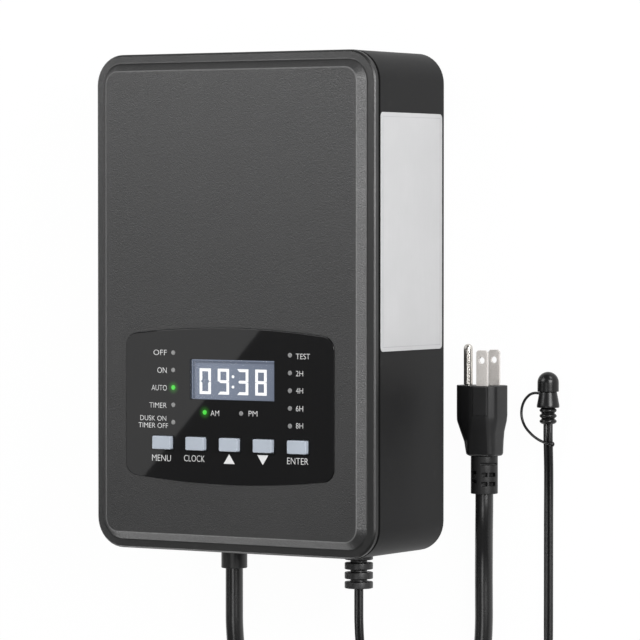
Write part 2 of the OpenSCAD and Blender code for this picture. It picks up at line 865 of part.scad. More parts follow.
breaker_y = bottom_y + breaker_cup;
module breaker_body() {
    color("#1a1a1a") translate([breaker_x, 0, exit_z]) difference() {
        union() {
            end_rod(breaker_neck_d, breaker_y - wall, wall + overrun);
            translate([-breaker_box[0] / 2, breaker_y, -breaker_box[2] / 2]) cube(breaker_box);
        }
        end_rod(
            breaker_d + 2 * slide_gap / 3, breaker_y - wall - overrun, breaker_reach + wall + 2 * overrun
        );
    }
}

module breaker_button() {
    color("#d9d9d6") translate([breaker_x, 0, exit_z])
        end_rod(breaker_d, breaker_y - breaker_show, breaker_show + breaker_reach);
}

block_y = bottom_y + bay_depth - wall;
module output_terminal_block() {
    color("#141414") translate([bay_x - block_w / 2, block_y - block_t, exit_z - block_h / 2]) difference() {
        cube([block_w, block_t, block_h]);
        for (s = [-1, 1]) translate([block_w / 2 + s * terminal_pitch / 2, block_t / 2, block_h / 2])
            rotate([90, 0, 0]) cylinder(d = terminal_screw_d, h = block_t);
    }
}

module terminal_plates() {
    color("#c4c8cc") for (s = [-1, 1])
        translate([bay_x + s * terminal_pitch / 2, block_y - block_t, exit_z]) difference() {
            translate([-plate_side / 2, -plate_thick, -plate_side / 2])
                cube([plate_side, plate_thick, plate_side]);
            rotate([90, 0, 0]) translate([0, 0, -overrun])
                cylinder(d = terminal_screw_d, h = plate_thick + 2 * overrun);
        }
}

module terminal_screws() {
    color("#c4c8cc") for (s = [-1, 1])
        translate([bay_x + s * terminal_pitch / 2, block_y - block_t - plate_thick, exit_z])
            rotate([90, 0, 0]) {
                difference() {
                    cylinder(d = terminal_head_d, h = terminal_head_h);
                    translate([0, 0, terminal_head_h / 2 + overrun])
                        cube([terminal_head_d + overrun, plate_thick, 2 * overrun], center = true);
                }
                translate([0, 0, -block_t / 3])
                    cylinder(d = terminal_screw_d - 2 * seat_gap, h = block_t / 3);
            }
}

// Plug body: its outline from above, its outline from the side and its section, in common
plug_end = plug_face - plug_l;
function mirrored(points) = concat(points, [for (i = [len(points) - 1:-1:0]) [-points[i][0], points[i][1]]]);
module plug_body() {
    top_outline = [
        [plug_left, 0], [plug_left, -1.15 * plug_straight], [-1.15 * plug_waist, -0.87 * plug_l],
        [-plug_waist, -plug_l], [plug_waist, -plug_l], [1.05 * plug_waist, -0.56 * plug_l],
        [plug_right, -0.95 * plug_straight], [plug_right, 0]
    ];
    side_outline = mirrored([
        [plug_waist_t / 2, -plug_l], [plug_waist_t / 2 + plug_step, -0.8 * plug_l],
        [plug_t / 2 - plug_step, -plug_straight - plug_step], [plug_t / 2, -plug_straight], [plug_t / 2, 0]
    ]);
    color("#1f1f20") translate([plug_x, plug_face, plug_z]) difference() {
        intersection() {
            translate([0, 0, -plug_t / 2]) linear_extrude(plug_t) polygon(top_outline);
            rotate([0, -90, 0]) translate([0, 0, -plug_w]) linear_extrude(2 * plug_w) polygon(side_outline);
            rotate([90, 0, 0]) linear_extrude(plug_l) polygon(plug_section());
        }
        plug_prong_seats();
    }
}

// Section of the plug: narrow at the ground pin, full height round the blades
function plug_section() = [
    [plug_left, -plug_nose], [plug_left + plug_shoulder_in, -plug_shoulder], [plug_flat[0], -plug_t / 2],
    [plug_flat[1], -plug_t / 2], [plug_right, -plug_shoulder], [plug_right, plug_shoulder],
    [plug_flat[1], plug_t / 2], [plug_flat[0], plug_t / 2], [plug_left + plug_shoulder_in, plug_shoulder],
    [plug_left, plug_nose]
];

// Seats of the two blades and the ground pin, from the plug's face
blade_x = ground_x + ground_offset - plug_x;
module plug_prong_seats() {
    for (s = [-1, 1])
        translate([blade_x - blade_w / 2, -prong_root, s * blade_gap / 2 - blade_t / 2])
            cube([blade_w, prong_root + overrun, blade_t]);
    translate([ground_x - plug_x, -prong_root, 0]) rotate([-90, 0, 0])
        cylinder(d = pin_root_d + seat_gap, h = prong_root + overrun);
}

module plug_strain_relief() {
    r = plug_relief_d / 2;
    color("#1f1f20") translate([plug_x, plug_end, plug_z]) difference() {
        rotate([90, 0, 0]) cylinder(r = r, h = plug_relief_l);
        for (i = [0:relief_slots - 1], s = [-1, 1])
            translate([0, -(i + 1) * relief_slot_pitch, 0]) rotate([0, i % 2 == 0 ? 0 : 90, 0])
                translate([-r, -relief_slot / 2, s < 0 ? -r : r - relief_slot_depth])
                    cube([2 * r, relief_slot, relief_slot_depth]);
    }
}

module plug_blades() {
    color("#c8c2b8") for (s = [-1, 1])
        translate([plug_x + blade_x, plug_face, plug_z + s * blade_gap / 2]) difference() {
            translate([-blade_w / 2, -prong_root, -blade_t / 2])
                cube([blade_w, prong_root + blade_l, blade_t]);
            translate([0, blade_l - blade_hole_in, -blade_t]) cylinder(d = blade_hole_d, h = 2 * blade_t);
            for (e = [-1, 1]) translate([e * blade_w / 2, blade_l, 0]) rotate(45)
                cube([blade_t, blade_t, 2 * blade_t], center = true);
        }
}

module plug_ground_pin() {
    straight = ground_l - ground_d / 2;
    color("#c8c2b8") translate([ground_x, plug_face, plug_z]) rotate([-90, 0, 0]) {
        translate([0, 0, -prong_root]) cylinder(d = pin_root_d, h = prong_root + pin_clear);
        translate([0, 0, pin_clear]) cylinder(d = ground_d, h = straight - pin_clear);
        translate([0, 0, straight]) sphere(d = ground_d);
    }
}

// A turned piece on the photocell's axis, from radius and distance pairs down from the dome's tip
module turned(points) {
    translate([cell_x, cell_top, cell_z]) rotate([90, 0, 0]) rotate_extrude() polygon(points);
}

dome_r = dome_d / 2;
module sensor_dome() {
    outer = [for (i = [0:arc_steps]) let (a = 90 * i / arc_steps) [dome_r * sin(a), dome_r * (1 - cos(a))]];
    inner_r = dome_r - dome_t;
    inner = [for (i = [arc_steps:-1:0]) let (a = 90 * i / arc_steps)
        [inner_r * sin(a), dome_t + inner_r * (1 - cos(a))]];
    color("#1c1c1d") turned(concat(outer, [[dome_r, dome_l], [inner_r, dome_l]], inner));
}

cell_relief_l = cell_ribs * cell_rib_pitch;
cell_end = dome_l + collar_l + cell_relief_l;
module sensor_collar() {
    ribs = [for (i = [0:cell_ribs - 1]) for (k = [0:2])
        let (y = dome_l + collar_l + (i + k / 3) * cell_rib_pitch)
            [[cell_core_d, cell_rib_d, cell_rib_d][k] / 2, y]];
    color("#1c1c1d") turned(concat(
        [[0, dome_l], [collar_top_d / 2, dome_l], [collar_d / 2, dome_l + collar_l - collar_rim],
            [collar_d / 2, dome_l + collar_l]],
        ribs, [[cell_core_d / 2, cell_end], [0, cell_end]]
    ));
}

module sensor_photocell() {
    color("#b03020") turned([
        [0, dome_l - photocell_t], [photocell_d / 2, dome_l - photocell_t],
        [photocell_d / 2, dome_l], [0, dome_l]
    ]);
}

module sensor_strap() {
    color("#161616") {
        tube(strap_route, strap_d, strap_d, 8, 0, 0);
        translate(strap_route[len(strap_route) - 1]) sphere(d = bead_d, $fn = 24);
    }
}

// Direction of a route at each of its points
function route_way(p, i) = let (n = len(p), d = p[min(i + 1, n - 1)] - p[max(i - 1, 0)]) d / norm(d);

// Rings of a swept tube: its width lies level where roll is 0 and upright where roll is 90
function tube_ring(at, way, w, t, sides, roll) = let (
        level = cross(way, [0, 0, 1]) / norm(cross(way, [0, 0, 1])),
        over = cross(level, way),
        wide = cos(roll) * level + sin(roll) * over,
        thin = -sin(roll) * level + cos(roll) * over
    ) [for (k = [0:sides - 1]) let (a = 360 * (k + 0.5) / sides)
        at + wide * (w / 2) * cos(a) + thin * (t / 2) * sin(a)];

// Share of the roll reached at a share of the way along a route
function eased_share(s) = let (c = min(max(s, 0), 1)) c * c * (3 - 2 * c);

// Triangles between rings, and across both ends
function tube_faces(n, sides) = concat(
        [for (i = [0:n - 2]) for (k = [0:sides - 1]) let (a = i * sides + k, b = i * sides + (k + 1) % sides)
            [a, b, b + sides]],
        [for (i = [0:n - 2]) for (k = [0:sides - 1]) let (a = i * sides + k, b = i * sides + (k + 1) % sides)
            [a, b + sides, a + sides]],
        [for (k = [1:sides - 2]) [0, k + 1, k]],
        [for (k = [1:sides - 2]) let (o = (n - 1) * sides) [o, o + k, o + k + 1]]
    );

// A tube along a route, turned from one roll angle to another over its middle
module tube(route, w, t, sides, roll_start, roll_end) {
    n = len(route);
    points = [for (i = [0:n - 1])
        let (s = roll_start == 0 ? (i / (n - 1) - 0.4) / 0.55 : (i / (n - 1) - 0.05) / 0.35)
        each tube_ring(route[i], route_way(route, i), w, t, sides,
            roll_start + (roll_end - roll_start) * eased_share(s))];
    polyhedron(points = points, faces = tube_faces(n, sides));
}

// Coil route: in from the rim at a steady rate, down a layer in the half turn where it reverses,
// and out again. The two ends run straight for a length of their own.
function coil_radius(r, pitch, turns, u) = r - pitch * (u < turns / 2 ? u : turns - u);
function coil_level(high, low, turns, u) = high + (low - high) * eased_share((u - turns / 2 + 0.25) / 0.5);
function coil_route(at, r, pitch, turns, start, hand, high, low, straight) = let (
        n = round(turns * rings_per_turn),
        a0 = start,
        a1 = start + hand * 360 * turns,
        p0 = [at[0] + r * cos(a0), at[1] + r * sin(a0), high],
        p1 = [at[0] + r * cos(a1), at[1] + r * sin(a1), low]
    ) concat(
        [p0 - straight * hand * [-sin(a0), cos(a0), 0]],
        [for (i = [0:n]) let (
                u = turns * i / n,
                a = start + hand * 360 * u,
                q = coil_radius(r, pitch, turns, u)
            ) [at[0] + q * cos(a), at[1] + q * sin(a), coil_level(high, low, turns, u)]],
        [p1 + straight * hand * [-sin(a1), cos(a1), 0]]
    );

// A coil's ends keep square to what they meet
function coil_way(p, i) = let (n = len(p))
    i == 0 ? (p[1] - p[0]) / norm(p[1] - p[0])
    : i == n - 1 ? (p[n - 1] - p[n - 2]) / norm(p[n - 1] - p[n - 2])
    : route_way(p, i);

module coil_tube(route, w, t, sides) {
    n = len(route);
    points = [for (i = [0:n - 1]) each tube_ring(route[i], coil_way(route, i), w, t, sides, 0)];
    polyhedron(points = points, faces = tube_faces(n, sides));
}

mains_coil = coil_route(
    mains_coil_at, mains_coil_r, mains_pitch, mains_turns, 180, 1, mains_high, mains_low, mains_d
);
twin_coil = coil_route(
    twin_coil_at, twin_coil_r, twin_pitch, twin_turns, 90, -1, twin_high, twin_low, twin_w
);

// Least gap between two turns, from point to point on points at least half a turn apart. The
// reach is how many times the tube's own size two points are apart.
function least_gap(p, w, t) = min([
    for (i = [0:len(p) - 1]) for (j = [i + rings_per_turn / 2:len(p) - 1])
        let (d = p[j] - p[i], reach = norm([norm([d[0], d[1]]) / t, d[2] / w])) norm(d) * (1 - 1 / reach)
]);
echo(mains_coil_gap = least_gap(mains_coil, mains_d, mains_d));
echo(twin_coil_gap = least_gap(twin_coil, twin_w, twin_t));

// Length of a route from one of its points on
function route_length(p, i = 1) = i < len(p) ? norm(p[i] - p[i - 1]) + route_length(p, i + 1) : 0;
echo(mains_cord = route_length(mains_lead_route) + route_length(mains_coil) + route_length(mains_tail_route));
echo(twin_cord = route_length(twin_lead_route) + route_length(twin_coil) + route_length(twin_tail_route));

module mains_cord_lead() { color("#242425") tube(mains_lead_route, mains_d, mains_d, 10, 0, 0); }
module mains_cord_coil() { color("#242425") coil_tube(mains_coil, mains_d, mains_d, 6); }
module mains_cord_tail() { color("#242425") tube(mains_tail_route, mains_d, mains_d, 10, 0, 0); }
module sensor_cord_lead() { color("#242425") tube(twin_lead_route, twin_w, twin_t, 8, 0, 90); }
module sensor_cord_coil() { color("#242425") coil_tube(twin_coil, twin_t, twin_w, 6); }
module sensor_cord_tail() { color("#242425") tube(twin_tail_route, twin_w, twin_t, 8, 90, 0); }

// A band round a coil's bundle, at its lowest point on the sheet
module coil_tie(at, r, pitch, turns, t, low, high, w) {
    r_in = r - pitch * turns / 2 - t / 2 - tie_gap;
    r_out = r + t / 2 + tie_gap;
    z_in = low - w / 2 - tie_gap;
    z_out = high + w / 2 + tie_gap;
    translate([at[0] - tie_w / 2, at[1], 0]) difference() {
        translate([0, -r_out - tie_t, z_in - tie_t])
            cube([tie_w, r_out - r_in + 2 * tie_t, z_out - z_in + 2 * tie_t]);
        translate([-overrun, -r_out, z_in]) cube([tie_w + 2 * overrun, r_out - r_in, z_out - z_in]);
    }
}

module mains_coil_tie() {
    color("#101010") coil_tie(
        mains_coil_at, mains_coil_r, mains_pitch, mains_turns, mains_d, mains_low, mains_high, mains_d
    );
}

module sensor_coil_tie() {
    color("#101010") coil_tie(
        twin_coil_at, twin_coil_r, twin_pitch, twin_turns, twin_t, twin_low, twin_high, twin_w
    );
}

rear_case();
front_cover();
cover_gasket();
cover_screws();
rating_label();
control_fascia();
display_window();
display_digits();
display_module();
key_menu();
key_clock();
key_up();
key_down();
key_enter();
plunger_menu();
plunger_clock();
plunger_up();
plunger_down();
plunger_enter();
tact_switches();
indicator_lights_off();
indicator_lights_on();
timer_board();
board_screws();
power_relay();
capacitors();
microcontroller();
toroid_core();
toroid_winding();
toroid_pad_lower();
toroid_pad_upper();
toroid_clamp_plate();
toroid_bolt();
toroid_nut();
mains_gland();
mains_gland_nut();
sensor_strain_relief();
sensor_relief_clip();
breaker_body();
breaker_button();
output_terminal_block();
terminal_plates();
terminal_screws();
plug_body();
plug_strain_relief();
plug_blades();
plug_ground_pin();
mains_cord_lead();
mains_cord_coil();
mains_cord_tail();
mains_coil_tie();
sensor_dome();
sensor_collar();
sensor_photocell();
sensor_strap();
sensor_cord_lead();
sensor_cord_coil();
sensor_cord_tail();
sensor_coil_tie();
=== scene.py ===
"""Looks for a low voltage landscape transformer that lies on its back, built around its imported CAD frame.

The frame is in metres: X runs across the box, Y to its top end and Z out of its front. Sizes in the
classes are in millimetres, and become metres where a mesh or a material is made.
"""

import logging
import math
from collections.abc import Callable, Iterator
from contextlib import contextmanager
from dataclasses import dataclass
from enum import Enum
from functools import cache

import bmesh
import bpy
from mathutils import Matrix, Vector


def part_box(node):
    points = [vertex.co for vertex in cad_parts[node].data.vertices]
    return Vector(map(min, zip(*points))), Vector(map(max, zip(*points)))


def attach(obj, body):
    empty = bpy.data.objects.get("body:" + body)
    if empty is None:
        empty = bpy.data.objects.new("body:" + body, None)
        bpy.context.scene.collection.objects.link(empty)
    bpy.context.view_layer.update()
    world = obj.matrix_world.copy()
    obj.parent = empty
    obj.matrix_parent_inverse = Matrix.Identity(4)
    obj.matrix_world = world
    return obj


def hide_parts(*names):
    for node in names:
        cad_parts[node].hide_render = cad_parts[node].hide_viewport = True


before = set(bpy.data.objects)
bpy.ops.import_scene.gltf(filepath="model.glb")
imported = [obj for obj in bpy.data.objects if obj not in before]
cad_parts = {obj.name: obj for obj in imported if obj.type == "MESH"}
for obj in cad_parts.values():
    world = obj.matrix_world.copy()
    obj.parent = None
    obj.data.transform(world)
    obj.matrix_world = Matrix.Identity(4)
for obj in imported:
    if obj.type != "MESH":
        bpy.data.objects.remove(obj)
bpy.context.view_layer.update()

MM = 0.001
Flat = tuple[float, float]
Point = tuple[float, float, float]
Colour = tuple[float, float, float]
log = logging.getLogger("scene")


class Body(Enum):
    """The moving bodies of the frame."""

    BOX = "box"
    MENU = "menu_key"
    CLOCK = "clock_key"
    UP = "up_key"
    DOWN = "down_key"
    ENTER = "enter_key"
    RESET = "reset_button"


KEYS = {"menu": Body.MENU, "clock": Body.CLOCK, "up": Body.UP, "down": Body.DOWN, "enter": Body.ENTER}


class Edit(Enum):
    """What is selected while a mesh is edited."""

    EDGES = "EDGE"
    FACES = "FACE"


def mm(x: float, y: float, z: float) -> Vector:
    """Returns a place or a size in metres from millimetres."""
    return Vector((x, y, z)) * MM


def eased(share: float) -> float:
    """Returns a share from 0 to 1 with a soft start and end."""
    kept = min(max(share, 0.0), 1.0)
    return kept * kept * (3 - 2 * kept)


def toned(colour: Colour, factor: float) -> Colour:
    """Returns a colour made darker or paler by a factor."""
    return tuple(factor * c for c in colour)


def rounded_outline(wide: float, high: float, radius: float, steps: int) -> list[Flat]:
    """Returns the points of a rectangle with round corners, in order from its right side.

    Args:
        wide: half its width.
        high: half its height.
        radius: the radius of its corners.
        steps: the steps round each corner.

    Returns:
        The points.
    """
    points = []
    for quarter, (sx, sy) in enumerate(((1, 1), (-1, 1), (-1, -1), (1, -1))):
        for step in range(steps + 1):
            angle = math.radians(90 * (quarter + step / steps))
            across, up = radius * math.cos(angle), radius * math.sin(angle)
            points.append((sx * (wide - radius) + across, sy * (high - radius) + up))
    return points


# Camera


@dataclass
class Shot:
    """The photograph's viewpoint: a long lens over the box, leaning to its right side.

    The image and the focal length are in pixels, the scale in pixels for a metre at the place it
    looks at, the angles in degrees and the clipping in metres.
    """

    image: float = 640
    focal: float = 4040
    scale: float = 1954
    yaw: float = 32.0
    pitch: float = 1.53
    look: Point = (53.2, -8.0, 70.0)
    sensor: float = 36.0
    clip: Flat = (0.05, 50)

    def axes(self) -> tuple[Vector, Vector, Vector]:
        """Gives the camera's directions.

        Returns:
            Its right, its up and its back.
        """
        yaw, pitch = math.radians(self.yaw), math.radians(self.pitch)
        level = math.cos(pitch)
        back = Vector((math.sin(yaw) * level, math.sin(pitch), math.cos(yaw) * level))
        right = Vector((math.cos(yaw), 0, -math.sin(yaw)))
        return right, back.cross(right), back

    def build(self) -> bpy.types.Object:
        """Makes the camera and sets it as the scene's own.

        Returns:
            The camera.
        """
        data = bpy.data.cameras.new("camera")
        data.sensor_width = self.sensor
        data.lens = self.focal * self.sensor / self.image
        data.clip_start, data.clip_end = self.clip
        camera = bpy.data.objects.new("camera", data)
        bpy.context.scene.collection.objects.link(camera)
        axes = self.axes()
        eye = mm(*self.look) + axes[2] * (self.focal / self.scale)
        camera.matrix_world = Matrix.Translation(eye) @ Matrix(axes).transposed().to_4x4()
        bpy.context.scene.camera = camera
        return camera


# Shader building


class Value:
    """A number that varies over a surface: a shader socket that takes part in sums."""

    def __init__(self, graph: "Graph", socket: bpy.types.NodeSocket) -> None:
        """Keeps the socket and the graph it belongs to."""
        self.graph = graph
        self.socket = socket

    def _maths(self, operation: str, first: "Value | float", second: "Value | float") -> "Value":
        """Returns one Math node's result."""
        return self.graph.value("ShaderNodeMath", {"operation": operation}, {0: first, 1: second})

    def __add__(self, other: "Value | float") -> "Value":
        """Returns self + other."""
        return self._maths("ADD", self, other)

    __radd__ = __add__

    def __sub__(self, other: "Value | float") -> "Value":
        """Returns self - other."""
        return self._maths("SUBTRACT", self, other)

    def __rsub__(self, other: "Value | float") -> "Value":
        """Returns other - self."""
        return self._maths("SUBTRACT", other, self)

    def __mul__(self, other: "Value | float") -> "Value":
        """Returns self * other."""
        return self._maths("MULTIPLY", self, other)

    __rmul__ = __mul__

    def __pow__(self, other: float) -> "Value":
        """Returns self raised to a power."""
        return self._maths("POWER", self, other)

    def most(self, other: "Value | float") -> "Value":
        """Returns the larger of two values."""
        return self._maths("MAXIMUM", self, other)

    def between(self, low: float, high: float) -> "Value":
        """Returns 0 below low, 1 above high and a soft step from one to the other; low may be above high."""
        step = {"Value": self, "From Min": low, "From Max": high}
        return self.graph.value("ShaderNodeMapRange", {"interpolation_type": "SMOOTHSTEP"}, step)


Input = Value | float | tuple | Vector


class Graph:
    """A node tree in which a material or the surround is made."""

    def __init__(self, tree: bpy.types.NodeTree) -> None:
        """Takes over a node tree."""
        self.tree = tree

    def node(
        self, kind: str, settings: dict[str, object] | None = None, inputs: dict[str | int, Input] | None = None
    ) -> bpy.types.Node:
        """Adds a node.

        Args:
            kind: the node's type.
            settings: its properties, which are set first.
            inputs: values or links for its sockets, by name or number.

        Returns:
            The node.
        """
        node = self.tree.nodes.new(kind)
        for key, value in (settings or {}).items():
            setattr(node, key, value)
        for key, value in (inputs or {}).items():
            if isinstance(value, Value):
                self.tree.links.new(value.socket, node.inputs[key])
            else:
                node.inputs[key].default_value = value
        return node

    def value(
        self,
        kind: str,
        settings: dict[str, object] | None = None,
        inputs: dict[str | int, Input] | None = None,
        output: str | int = 0,
    ) -> Value:
        """Adds a node as node() does, and returns one of its outputs, by name or number."""
        return Value(self, self.node(kind, settings, inputs).outputs[output])

    def split(self, rays: tuple[str, ...], dark: Value, white: Value, white_share: float, end: str) -> None:
        """Ends the tree with one surface for some kinds of ray and another for the rest.

        Args:
            rays: the Light Path outputs that see the white one.
            dark: what all other rays see.
            white: the white surface.
            white_share: the share of it that those rays see.
            end: the type of the output node.
        """
        path = self.node("ShaderNodeLightPath")
        share = sum((Value(self, path.outputs[ray]) for ray in rays[1:]), start=Value(self, path.outputs[rays[0]]))
        mix = self.value("ShaderNodeMixShader", {}, {0: share * white_share, 1: dark, 2: white})
        self.node(end, {}, {0: mix})


class Shader(Graph):
    """A material being made: its Principled shader and the nodes that feed it."""

    def __init__(self, name: str, constants: dict[str, float | tuple]) -> None:
        """Starts the material.

        Args:
            name: the material's name.
            constants: the shader's own sockets that are the same all over, by name.
        """
        self.material = bpy.data.materials.new(name)
        self.material.use_nodes = True
        super().__init__(self.material.node_tree)
        self.surface = self.tree.nodes["Principled BSDF"]
        for socket, value in constants.items():
            self.surface.inputs[socket].default_value = value
        self._places = self.value("ShaderNodeTexCoord", output="Object")

    def places(self, turn: Point = (0, 0, 0), stretch: Point = (1, 1, 1), uv: bool = False) -> Value:
        """Places a pattern.

        Args:
            turn: its turn in degrees.
            stretch: its scale along each axis.
            uv: whether it follows a sweep's own UV map.

        Returns:
            The pattern's coordinates in metres.
        """
        source = self.value("ShaderNodeTexCoord", output="UV") if uv else self._places
        angles = tuple(math.radians(a) for a in turn)
        return self.value("ShaderNodeMapping", {}, {"Vector": source, "Rotation": angles, "Scale": stretch})

    def axis(self, number: int) -> Value:
        """Returns one coordinate in metres: 0 is X, 1 is Y and 2 is Z."""
        return self.value("ShaderNodeSeparateXYZ", {}, {0: self._places}, number)

    def noise(self, size: float, detail: float = 2, places: Value | None = None) -> Value:
        """Returns noise from 0 to 1 whose features are about size millimetres across."""
        inputs = {"Vector": places or self._places, "Scale": 1 / (size * MM), "Detail": detail}
        return self.value("ShaderNodeTexNoise", {}, inputs)

    def cells(self, size: float, places: Value | None = None, feature: str = "F1") -> Value:
        """Returns the distance to the nearest of scattered points about size millimetres apart."""
        inputs = {"Vector": places or self._places, "Scale": 1 / (size * MM)}
        return self.value("ShaderNodeTexVoronoi", {"feature": feature}, inputs, "Distance")

    def blend(self, share: Value | float, first: Colour | Value, second: Colour | Value) -> Value:
        """Returns a colour that goes from first to second with share."""
        colours = [c if isinstance(c, Value) else (*c, 1) for c in (first, second)]
        return self.value("ShaderNodeMix", {"data_type": "RGBA"}, {0: share, 6: colours[0], 7: colours[1]}, 2)

    def feed(self, socket: str, value: Value) -> None:
        """Links a value that varies to one of the shader's sockets."""
        self.tree.links.new(value.socket, self.surface.inputs[socket])

    def relief(self, height: Value, depth: float) -> None:
        """Raises the surface by a height from 0 to 1 that stands for depth millimetres."""
        self.feed("Normal", self.value("ShaderNodeBump", {}, {"Height": height, "Distance": depth * MM}))


# Finishes


@dataclass(frozen=True)
class Finish:
    """A finish of the object's surfaces. Each kind makes its own material."""

    name: str

    def build(self) -> bpy.types.Material:
        """Returns the material."""
        raise NotImplementedError


@cache
def material_of(finish: Finish) -> bpy.types.Material:
    """Returns a finish's material, which is made at its first use."""
    return finish.build()


@dataclass(frozen=True)
class Moulded(Finish):
    """Moulded plastic or rubber: a fine grain, uneven gloss and faint handling marks."""

    colour: Colour
    roughness: float = 0.45
    specular: float = 0.5
    grain: float = 0.4
    depth: float = 0.02
    patch: float = 0.12
    patch_size: float = 40.0
    marks: float = 0.06
    speckle: float = 0.1
    along: bool = False

    def build(self) -> bpy.types.Material:
        """Makes the material.

        Returns:
            The material.
        """
        shader = Shader(self.name, {"Specular IOR Level": self.specular})
        places = shader.places(stretch=(1, 0.08, 1), uv=True) if self.along else shader.places()
        fine = shader.noise(self.grain, 3, places)
        broad = shader.noise(self.patch_size, 3)
        rubbed = shader.noise(self.patch_size / 6, 5).between(0.6, 0.78) * self.marks
        dark, pale = toned(self.colour, 1 - self.patch), toned(self.colour, 1 + self.patch)
        worn = tuple(min(1.0, 0.05 + c) for c in toned(self.colour, 1.6))
        tone = self.shade(shader, shader.blend(broad.between(0.3, 0.7), dark, pale))
        shader.feed("Base Color", shader.blend(rubbed, tone, worn))
        uneven = (broad - 0.5) * 0.12 + (fine - 0.5) * self.speckle - rubbed * 0.4
        shader.feed("Roughness", self.roughness + uneven)
        shader.relief(self.grained(shader, fine), self.depth)
        return shader.material

    def shade(self, shader: Shader, tone: Value) -> Value:
        """Returns the colour as it is: a finish with painted shade or a painted highlight changes it here."""
        return tone

    def grained(self, shader: Shader, height: Value) -> Value:
        """Returns the grain's height as it is: a finish with smooth places changes it here."""
        return height


@dataclass(frozen=True)
class CoverPlastic(Moulded):
    """The cover's plastic: grained panel and slope, a smooth rim with painted shade, and a painted highlight on the
    panel's edge.

    Each band runs from where it starts to where it is full, in millimetres: over the rim, along X
    for the part of the rim that gets the painted shade, and below the panel for the foot and head of the painted
    edge highlight.
    """

    panel: float = 74.2
    rim: float = 70.0
    rim_band: Flat = (0.5, 0.15)
    rim_side: Flat = (-86, -70)
    highlight_foot: Flat = (0.4, 0.32)
    highlight_head: Flat = (0.02, 0.05)
    # colour of the painted shade on the rim and lip
    painted_rim_shade: Colour = (0.001, 0.001, 0.001)
    # colour of the painted highlight along the panel's edge
    painted_edge_highlight: Colour = (0.1, 0.1, 0.1)

    def rim_share(self, shader: Shader) -> Value:
        """Returns 1 on the rim and the lip, less at the left."""
        level = shader.axis(2).between(*((self.rim + over) * MM for over in self.rim_band))
        return level * shader.axis(0).between(*(x * MM for x in self.rim_side))

    def shade(self, shader: Shader, tone: Value) -> Value:
        """Paints shade on the rim and a highlight along the panel's edge.

        Args:
            shader: the material that is made.
            tone: the plain colour.

        Returns:
            The colour with both.
        """
        height = shader.axis(2)
        # painted highlight: a pale band just below the panel's face, along its edge
        low = height.between(*((self.panel - under) * MM for under in self.highlight_foot))
        edge = low * height.between(*((self.panel - under) * MM for under in self.highlight_head))
        # painted shade: the rim and lip are darkened to near black
        dark = shader.blend(self.rim_share(shader) * 0.85, tone, self.painted_rim_shade)
        return shader.blend(edge * 0.75, dark, self.painted_edge_highlight)

    def grained(self, shader: Shader, height: Value) -> Value:
        """Returns the grain's height, which is next to nothing on the rim."""
        return height * (1 - self.rim_share(shader) * 0.9)


@dataclass(frozen=True)
class Metal(Finish):
    """Plated or machined metal: drawn lines, small scratches and dull patches."""

    colour: Colour
    roughness: float = 0.28
    grain: Point = (1, 0.06, 1)
    size: float = 0.5
    depth: float = 0.01
    dull: float = 0.14
    pitted: float = 0.0
    metallic: float = 1.0

    def build(self) -> bpy.types.Material:
        """Makes the material.

        Returns:
            The material.
        """
        shader = Shader(self.name, {"Metallic": self.metallic})
        lines = shader.noise(self.size, 4, shader.places(stretch=self.grain))
        broad = shader.noise(9, 4).between(0.35, 0.75)
        specks = shader.noise(self.size * 1.6, 2).between(0.55, 0.75) * self.pitted
        tone = shader.blend(lines, toned(self.colour, 0.78), self.colour)
        shader.feed("Base Color", shader.blend(specks + broad * 0.15, tone, toned(self.colour, 0.55)))
        shader.feed("Roughness", self.roughness + broad * self.dull + (lines - 0.5) * 0.16 + specks * 0.2)
        shader.relief(lines, self.depth)
        return shader.material


@dataclass(frozen=True)
class Gloss(Finish):
    """The fascia's black sheet under a thin polished coat, with a painted green glow round each lit light."""

    colour: Colour
    lit: tuple[Flat, ...]
    roughness: float = 0.4
    specular: float = 0.08
    coat: float = 0.25
    coat_roughness: float = 0.018
    painted_glow: Colour = (0.02, 0.13, 0.01)
    reach: Flat = (4.8, 0.6)

    def painted_halo(self, shader: Shader, place: Flat) -> Value:
        """Paints the glow round one light.

        Args:
            shader: the material that is made.
            place: the light's middle.

        Returns:
            1 at the light, falling to 0 at the painted glow's reach.
        """
        off_x, off_y = shader.axis(0) - place[0] * MM, shader.axis(1) - place[1] * MM
        away = (off_x * off_x + off_y * off_y) ** 0.5
        return away.between(*(r * MM for r in self.reach)) ** 2.0

    def build(self) -> bpy.types.Material:
        """Makes the material.

        Returns:
            The material.
        """
        constants = {"Specular IOR Level": self.specular, "Emission Strength": 1.0}
        shader = Shader(self.name, {**constants, "Coat Weight": self.coat, "Coat Roughness": self.coat_roughness})
        smears = shader.noise(26, 4, shader.places((0, 0, 35), (1, 0.4, 1))).between(0.5, 0.8)
        shader.feed("Base Color", shader.blend(smears * 0.5, self.colour, toned(self.colour, 1.35)))
        shader.feed("Roughness", self.roughness + smears * 0.1)
        # painted light: emission on the sheet round each lit light, for the light it casts
        painted_halos = [self.painted_halo(shader, place) for place in self.lit]
        shader.feed("Emission Color", shader.blend(sum(painted_halos[1:], start=painted_halos[0]), (0, 0, 0), self.painted_glow))
        return shader.material


@dataclass(frozen=True)
class Lens(Finish):
    """A light's clouded lens, unlit or glowing from its middle."""

    colour: Colour
    glow: Colour = (0, 0, 0)
    roughness: float = 0.25

    def build(self) -> bpy.types.Material:
        """Makes the material.

        Returns:
            The material.
        """
        shader = Shader(self.name, {"Emission Strength": 1.0 if any(self.glow) else 0.0, "Coat Weight": 0.3})
        cloud = shader.noise(0.7, 3)
        shader.feed("Base Color", shader.blend(cloud, toned(self.colour, 0.8), self.colour))
        shader.feed("Roughness", self.roughness + cloud * 0.12)
        if any(self.glow):
            shader.feed("Emission Color", shader.blend(cloud * 0.4, self.glow, toned(self.glow, 0.7)))
        return shader.material


